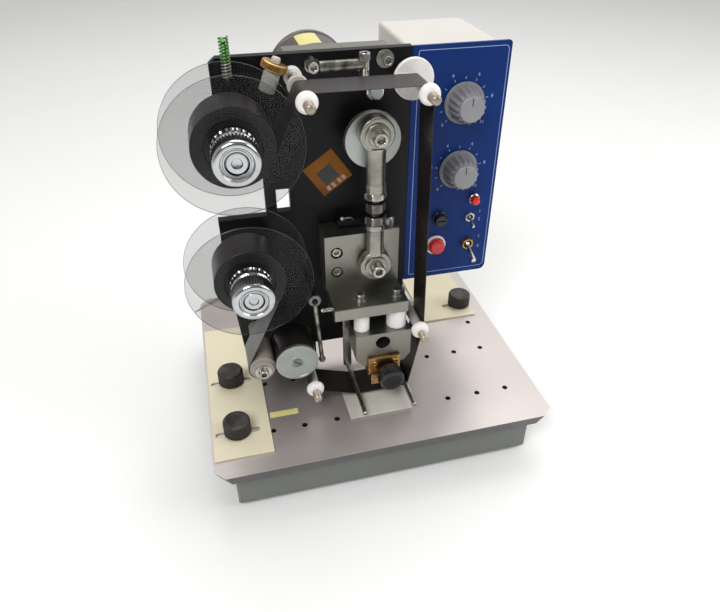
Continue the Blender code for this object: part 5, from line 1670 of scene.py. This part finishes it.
def make_stage():
    bm = bmesh.new()
    half = bpy.context.scene.coder_sizes.floor
    bmesh.ops.create_grid(bm, x_segments=24, y_segments=24, size=half)
    floor = mesh_object("studio_floor", bm)
    paper = surface("studio paper", "#F8F8F7", 0.0, (0.75, 0.9), 0.985, 3.0, 90, relief=0.02)
    floor.data.materials.append(paper)
    power = bpy.context.scene.coder_sizes.key_power
    area_light("key light", (-0.9, -1.3, 1.9), (0, 0, 0.15), 1.1, power)
    area_light("side light", (1.7, -0.7, 1.3), (0, 0, 0.2), 1.4, power * 0.45)
    area_light("top light", (0.3, 0.9, 2.2), (0, 0, 0.1), 1.8, power * 0.6)
    make_world()
    make_camera()
    bpy.context.scene.view_settings.view_transform = "Standard"


# ---------------------------------------------------------------- operators


def run_done(build):
    """Builds a group of pieces; an error in it stops the script."""
    build()
    return {"FINISHED"}


class CODER_OT_base(bpy.types.Operator):
    """Base plate, case, feet, print pad and blank strip"""

    bl_idname = "coder.base"
    bl_label = "Base"

    def execute(self, context):
        return run_done(make_base)


class CODER_OT_guides(bpy.types.Operator):
    """Sliding product guides and their thumb knobs"""

    bl_idname = "coder.guides"
    bl_label = "Product guides"

    def execute(self, context):
        return run_done(make_guides)


class CODER_OT_plate(bpy.types.Operator):
    """Upright plate with its bracket, sticker and fittings"""

    bl_idname = "coder.plate"
    bl_label = "Upright plate"

    def execute(self, context):
        return run_done(make_plate)


class CODER_OT_motor(bpy.types.Operator):
    """Gear case and motor behind the plate"""

    bl_idname = "coder.motor"
    bl_label = "Gear motor"

    def execute(self, context):
        return run_done(make_motor)


class CODER_OT_box(bpy.types.Operator):
    """Control box with its vents and power inlet"""

    bl_idname = "coder.box"
    bl_label = "Control box"

    def execute(self, context):
        return run_done(make_box)


class CODER_OT_panel(bpy.types.Operator):
    """Control panel sheet with its printed scales and bushes"""

    bl_idname = "coder.panel"
    bl_label = "Control panel"

    def execute(self, context):
        return run_done(make_panel)


class CODER_OT_dials(bpy.types.Operator):
    """Two fluted dial knobs"""

    bl_idname = "coder.dials"
    bl_label = "Dials"

    def execute(self, context):
        return run_done(make_dials)


class CODER_OT_switches(bpy.types.Operator):
    """Lamp, fuse cap, push button and the two toggle levers"""

    bl_idname = "coder.switches"
    bl_label = "Switches and lamp"

    def execute(self, context):
        return run_done(make_switches)


class CODER_OT_head(bpy.types.Operator):
    """Sliding carriage, heated block, type drawer and strippers"""

    bl_idname = "coder.head"
    bl_label = "Print head"

    def execute(self, context):
        return run_done(make_head)


class CODER_OT_drive(bpy.types.Operator):
    """Crank wheel and connecting rod with its pins"""

    bl_idname = "coder.drive"
    bl_label = "Crank and rod"

    def execute(self, context):
        return run_done(make_drive)


class CODER_OT_reels(bpy.types.Operator):
    """Foil reels with their clear discs, rolls and lock nuts"""

    bl_idname = "coder.reels"
    bl_label = "Foil reels"

    def execute(self, context):
        return run_done(make_reels)


class CODER_OT_rollers(bpy.types.Operator):
    """Feed roller and pinch roller"""

    bl_idname = "coder.rollers"
    bl_label = "Rollers"

    def execute(self, context):
        return run_done(make_rollers)


class CODER_OT_posts(bpy.types.Operator):
    """Foil guide posts and the advance link"""

    bl_idname = "coder.posts"
    bl_label = "Guide posts"

    def execute(self, context):
        return run_done(make_posts)


class CODER_OT_ribbon(bpy.types.Operator):
    """The web of foil between the reels"""

    bl_idname = "coder.ribbon"
    bl_label = "Foil web"

    def execute(self, context):
        return run_done(make_ribbon)


class CODER_OT_brake(bpy.types.Operator):
    """Reel brake with its thumb nut and spring"""

    bl_idname = "coder.brake"
    bl_label = "Reel brake"

    def execute(self, context):
        return run_done(make_brake)


class CODER_OT_stage(bpy.types.Operator):
    """Floor, lights and camera"""

    bl_idname = "coder.stage"
    bl_label = "Stage"

    def execute(self, context):
        return run_done(make_stage)


OPERATORS = (
    CODER_OT_base,
    CODER_OT_guides,
    CODER_OT_plate,
    CODER_OT_motor,
    CODER_OT_box,
    CODER_OT_panel,
    CODER_OT_dials,
    CODER_OT_switches,
    CODER_OT_head,
    CODER_OT_drive,
    CODER_OT_reels,
    CODER_OT_rollers,
    CODER_OT_posts,
    CODER_OT_ribbon,
    CODER_OT_brake,
    CODER_OT_stage,
)


class CODER_PT_looks(bpy.types.Panel):
    """The steps that build the looks, with their colours and sizes"""

    bl_idname = "CODER_PT_looks"
    bl_label = "Ribbon date coder"
    bl_space_type = "VIEW_3D"
    bl_region_type = "UI"
    bl_category = "Coder"

    def draw(self, context):
        for settings in (context.scene.coder_finishes, context.scene.coder_sizes):
            for name in settings.bl_rna.properties.keys():
                if name not in ("rna_type", "name"):
                    self.layout.prop(settings, name)
        for operator in OPERATORS:
            self.layout.operator(operator.bl_idname)


CLASSES = (CoderFinishes, CoderSizes) + OPERATORS + (CODER_PT_looks,)


def register():
    for cls in CLASSES:
        bpy.utils.register_class(cls)
    bpy.types.Scene.coder_finishes = bpy.props.PointerProperty(type=CoderFinishes)
    bpy.types.Scene.coder_sizes = bpy.props.PointerProperty(type=CoderSizes)


def unregister():
    del bpy.types.Scene.coder_sizes
    del bpy.types.Scene.coder_finishes
    for cls in reversed(CLASSES):
        bpy.utils.unregister_class(cls)


def main():
    register()
    for operator in OPERATORS:
        step = operator.bl_idname.split(".")[1]
        getattr(bpy.ops.coder, step)()
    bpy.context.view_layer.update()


if __name__ == "__main__":
    main()
